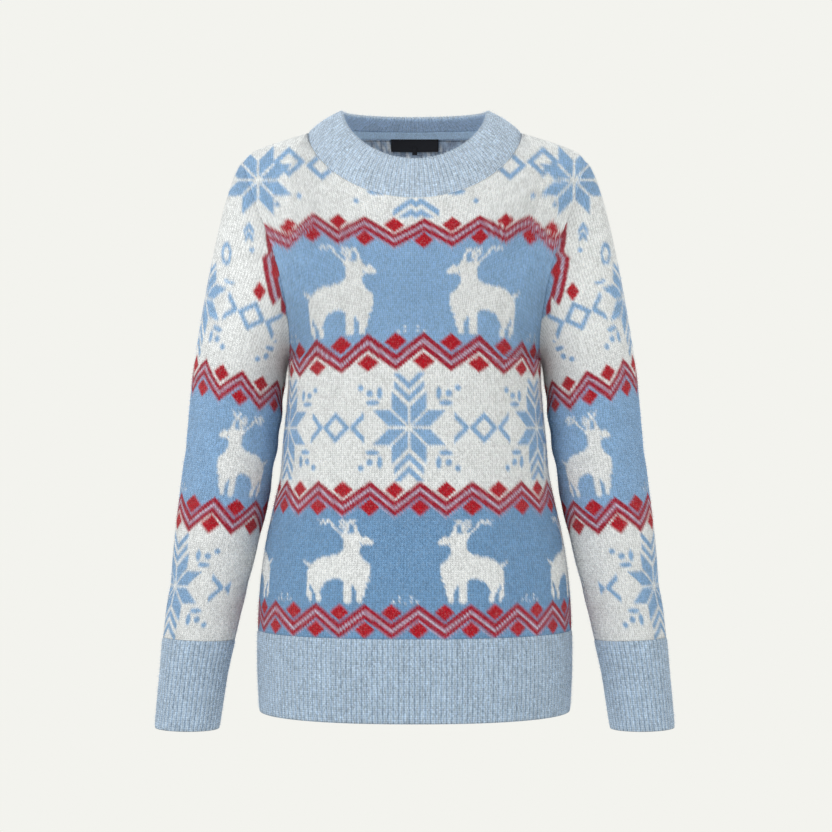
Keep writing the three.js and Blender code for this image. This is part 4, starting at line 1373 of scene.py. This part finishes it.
def knit_material(name, strand_depth, hair, groove, fleck, sheen):
    """Brushed wool: strands in Vs from the stitch places, grooves between the wales with painted shade in
    them and a painted highlight on the strands, stitches that differ a little from each other, fine hairs,
    and pale flecks of loose fibre."""
    shader = Shader(name)
    stitch = shader.node("ShaderNodeUVMap", {"uv_map": "Stitch"})
    parts = shader.node("ShaderNodeSeparateXYZ", inputs={"Vector": stitch.outputs[0]})
    wale = shader.read(parts, "X")
    course = shader.read(parts, "Y")
    strand = (course * (2 * np.pi)).maths("COSINE") * -0.5 + 0.5
    leg = (wale * (2 * np.pi)).maths("SINE").maths("ABSOLUTE")
    valley = (wale * np.pi).maths("SINE").maths("ABSOLUTE")
    relief = strand.maths("POWER", 0.6) * leg.maths("POWER", 0.5)
    cell = shader.node("ShaderNodeCombineXYZ", inputs={
        "X": (wale * 2).maths("FLOOR"), "Y": course.maths("FLOOR"), "Z": 0.0})
    odd = shader.node("ShaderNodeTexWhiteNoise", {"noise_dimensions": "2D"}, {"Vector": cell.outputs[0]})
    hairs = shader.noise(HAIR_SCALE, 3.0)
    wisps = shader.noise(WISP_SCALE, 4.0)
    clouds = shader.noise(CLOUD_SCALE, 3.0)
    height = relief * strand_depth + hairs * hair + wisps * hair * 1.6
    bump = shader.node("ShaderNodeBump", inputs={"Height": height, "Distance": 1 * MM, "Strength": 0.9})
    yarn = shader.node("ShaderNodeVertexColor", {"layer_name": "Yarn"}).outputs["Color"]
    # Painted shade: the yarn is darker in the grooves between the wales and lighter on the strands; the next
    # two lines add random tone by stitch and in clouds
    shade = (relief * 0.5 + valley * 0.5 - 0.62) * groove
    shade = shade + (shader.read(odd, 0) - 0.5) * groove * 0.8
    shade = shade + (clouds - 0.5) * groove * 0.5
    shaded = shader.scale(yarn, shade + 1.0)
    loose = ((wisps + hairs - 1.02) * 3.0 * fleck).maths("MAXIMUM", 0.0).maths("MINIMUM", 0.6)
    pale = shader.blend(FLECK_SHARE, yarn, FLECK_COLOUR)
    shown = shader.blend(loose, shaded, pale)
    shader.set(Base_Color=shown, Roughness=0.94, Normal=bump.outputs[0])
    shader.set(Sheen_Weight=sheen, Sheen_Roughness=0.45, Specular_IOR_Level=0.2)
    return shader.material


def weave_material(name):
    """A fine satin weave: warp and weft as sine waves of the place, over a slightly uneven colour."""
    shader = Shader(name)
    stitch = shader.node("ShaderNodeUVMap", {"uv_map": "Stitch"})
    parts = shader.node("ShaderNodeSeparateXYZ", inputs={"Vector": stitch.outputs[0]})
    warp = (shader.read(parts, "X") * 18.0).maths("SINE")
    weft = (shader.read(parts, "Y") * 14.0).maths("SINE")
    bump = shader.node("ShaderNodeBump", inputs={
        "Height": warp * weft, "Distance": 0.05 * MM, "Strength": 0.5})
    yarn = shader.node("ShaderNodeVertexColor", {"layer_name": "Yarn"}).outputs["Color"]
    uneven = shader.noise(900.0) * 0.8 + 0.6
    shader.set(Base_Color=shader.scale(yarn, uneven), Roughness=0.7, Normal=bump.outputs[0])
    shader.set(Specular_IOR_Level=0.15)
    return shader.material


def hair_material(name):
    """Loose fibres, in the colour of the stitch that they stand on."""
    shader = Shader(name)
    yarn = shader.node("ShaderNodeVertexColor", {"layer_name": "Yarn"})
    shader.set(Base_Color=yarn.outputs["Color"], Roughness=0.9, Specular_IOR_Level=0.1)
    return shader.material


def make_fuzz(name, outer, normals, colours, closed, count, material):
    """Short loose fibres over a skin: each is one thin triangle that leans from the surface.

    Its root is a place chosen within a quad, its lean a direction chosen round the normal, and its
    length and rise are chosen too.
    """
    rows, columns = colours.shape[:2]
    j = rng.integers(1, rows - 2, count)
    i = rng.integers(0, columns if closed else columns - 1, count)
    a, b = rng.random(count)[:, None], rng.random(count)[:, None]
    right = (i + 1) % columns if closed else i + 1
    root = mix(mix(outer[j, i], outer[j, right], a), mix(outer[j + 1, i], outer[j + 1, right], a), b)
    normal = normals[j, i]
    turn = rng.random(count)[:, None] * 2 * np.pi
    side = unit(outer[j, right] - outer[j, i])
    down = unit(outer[j + 1, i] - outer[j, i])
    lean = side * np.cos(turn) + down * np.sin(turn)
    reach = (FIBRE_LENGTH * rng.uniform(0.5, 1.3, count))[:, None]
    rise = rng.uniform(0.15, 1.0, count)[:, None]
    tip = root + unit(lean * (1 - rise * 0.6) + normal * rise) * reach
    across = unit(np.cross(tip - root, normal + side * 0.3)) * FIBRE_HALF_WIDTH
    places = np.stack([root - across, root + across, tip], axis=1).reshape(-1, 3)
    faces = np.arange(count * 3).reshape(-1, 3)
    paint = np.clip(colours[j, i] * rng.normal(1.06, 0.1, count)[:, None], 0, 0.95)
    return make_mesh(name, places, [faces], np.repeat(paint, 3, axis=0), None, material)


wool = knit_material("brushed_knit", 0.9, 0.7, 0.44, 1.0, 0.14)
rib = knit_material("brushed_rib", 0.8, 0.7, 0.55, 1.0, 0.2)
tape_rib = knit_material("tape_rib", 0.4, 0.4, 0.5, 0.4, 0.2)
black = weave_material("black_weave")
fibre = hair_material("loose_fibre")


def place_piece(made, node):
    """Puts a piece in the place of its solid."""
    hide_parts(node)
    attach(made, "root")


def add_cloth(name, node, result, closed, count):
    """Seats one cut piece and its fibres."""
    wall, outer, normals, colours = result
    place_piece(wall, node)
    fuzz = make_fuzz(name + "_fibres", outer, normals, colours, closed, count, fibre)
    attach(fuzz, "root")


for face, word, count, flat, area in (
        (-1, "front", 44000, (0.45, 0.56), 0.215), (1, "back", 40000, (0.45, 0.6), 0.23)):
    panel = make_panel(face, f"{word}_knit", wool)
    add_cloth(word, f"{word}_panel", panel, False, count)
for side, word in ((-1, "left"), (1, "right")):
    sleeve = make_sleeve(side, f"sleeve_{word}_knit", wool)
    add_cloth(f"sleeve_{word}", f"sleeve_{word}", sleeve, True, 26000)
    cuff = make_cuff(side, f"cuff_{word}_rib", rib)
    add_cloth(f"cuff_{word}", f"cuff_{word}", cuff, True, 5000)
for face, word, flat in ((-1, "front", (0.47, 0.088)), (1, "back", (0.46, 0.088))):
    hem = make_hem(face, f"hem_{word}_rib", rib)
    add_cloth(f"hem_{word}", f"hem_{word}", hem, False, 9000)
add_cloth("neck", "neckband", make_neckband("neckband_rib", rib), True, 12000)

tape = make_tape("neck_tape_rib", tape_rib)
place_piece(tape, "neck_tape")
label = make_label("label_weave", LABEL, black)
place_piece(label, "neck_label")
tab = make_label("tab_weave", TAB, black)
place_piece(tab, "label_tab")

# Camera, as worked out from the photo: level, looking at the front
camera = bpy.data.objects.new("camera", bpy.data.cameras.new("camera"))
camera.data.lens = LENS
camera.data.sensor_width = SENSOR
camera.data.clip_end = 50
camera.location = (VIEW_X * MM, -VIEW_DISTANCE * MM, VIEW_Z * MM)
camera.rotation_euler = (np.pi / 2, 0, 0)
bpy.context.scene.collection.objects.link(camera)
bpy.context.scene.camera = camera


def add_light(name, place, aim, size, power):
    """A soft square light that looks at a point."""
    light = bpy.data.lights.new(name, "AREA")
    light.size = size
    light.energy = power
    made = bpy.data.objects.new(name, light)
    made.location = place
    made.visible_camera = False
    direction = Vector(aim) - Vector(place)
    made.rotation_euler = direction.to_track_quat("-Z", "Y").to_euler()
    bpy.context.scene.collection.objects.link(made)


for name, place, aim, size, power in LIGHTS:
    add_light(name, place, aim, size, power)

world = bpy.data.worlds.new("studio")
bpy.context.scene.world = world
world.use_nodes = True
world.node_tree.nodes["Background"].inputs[0].default_value = tuple(linear(STUDIO)) + (1,)
world.node_tree.nodes["Background"].inputs[1].default_value = 1.0

bpy.context.scene.view_settings.view_transform = "Standard"
bpy.context.scene.view_settings.look = "None"
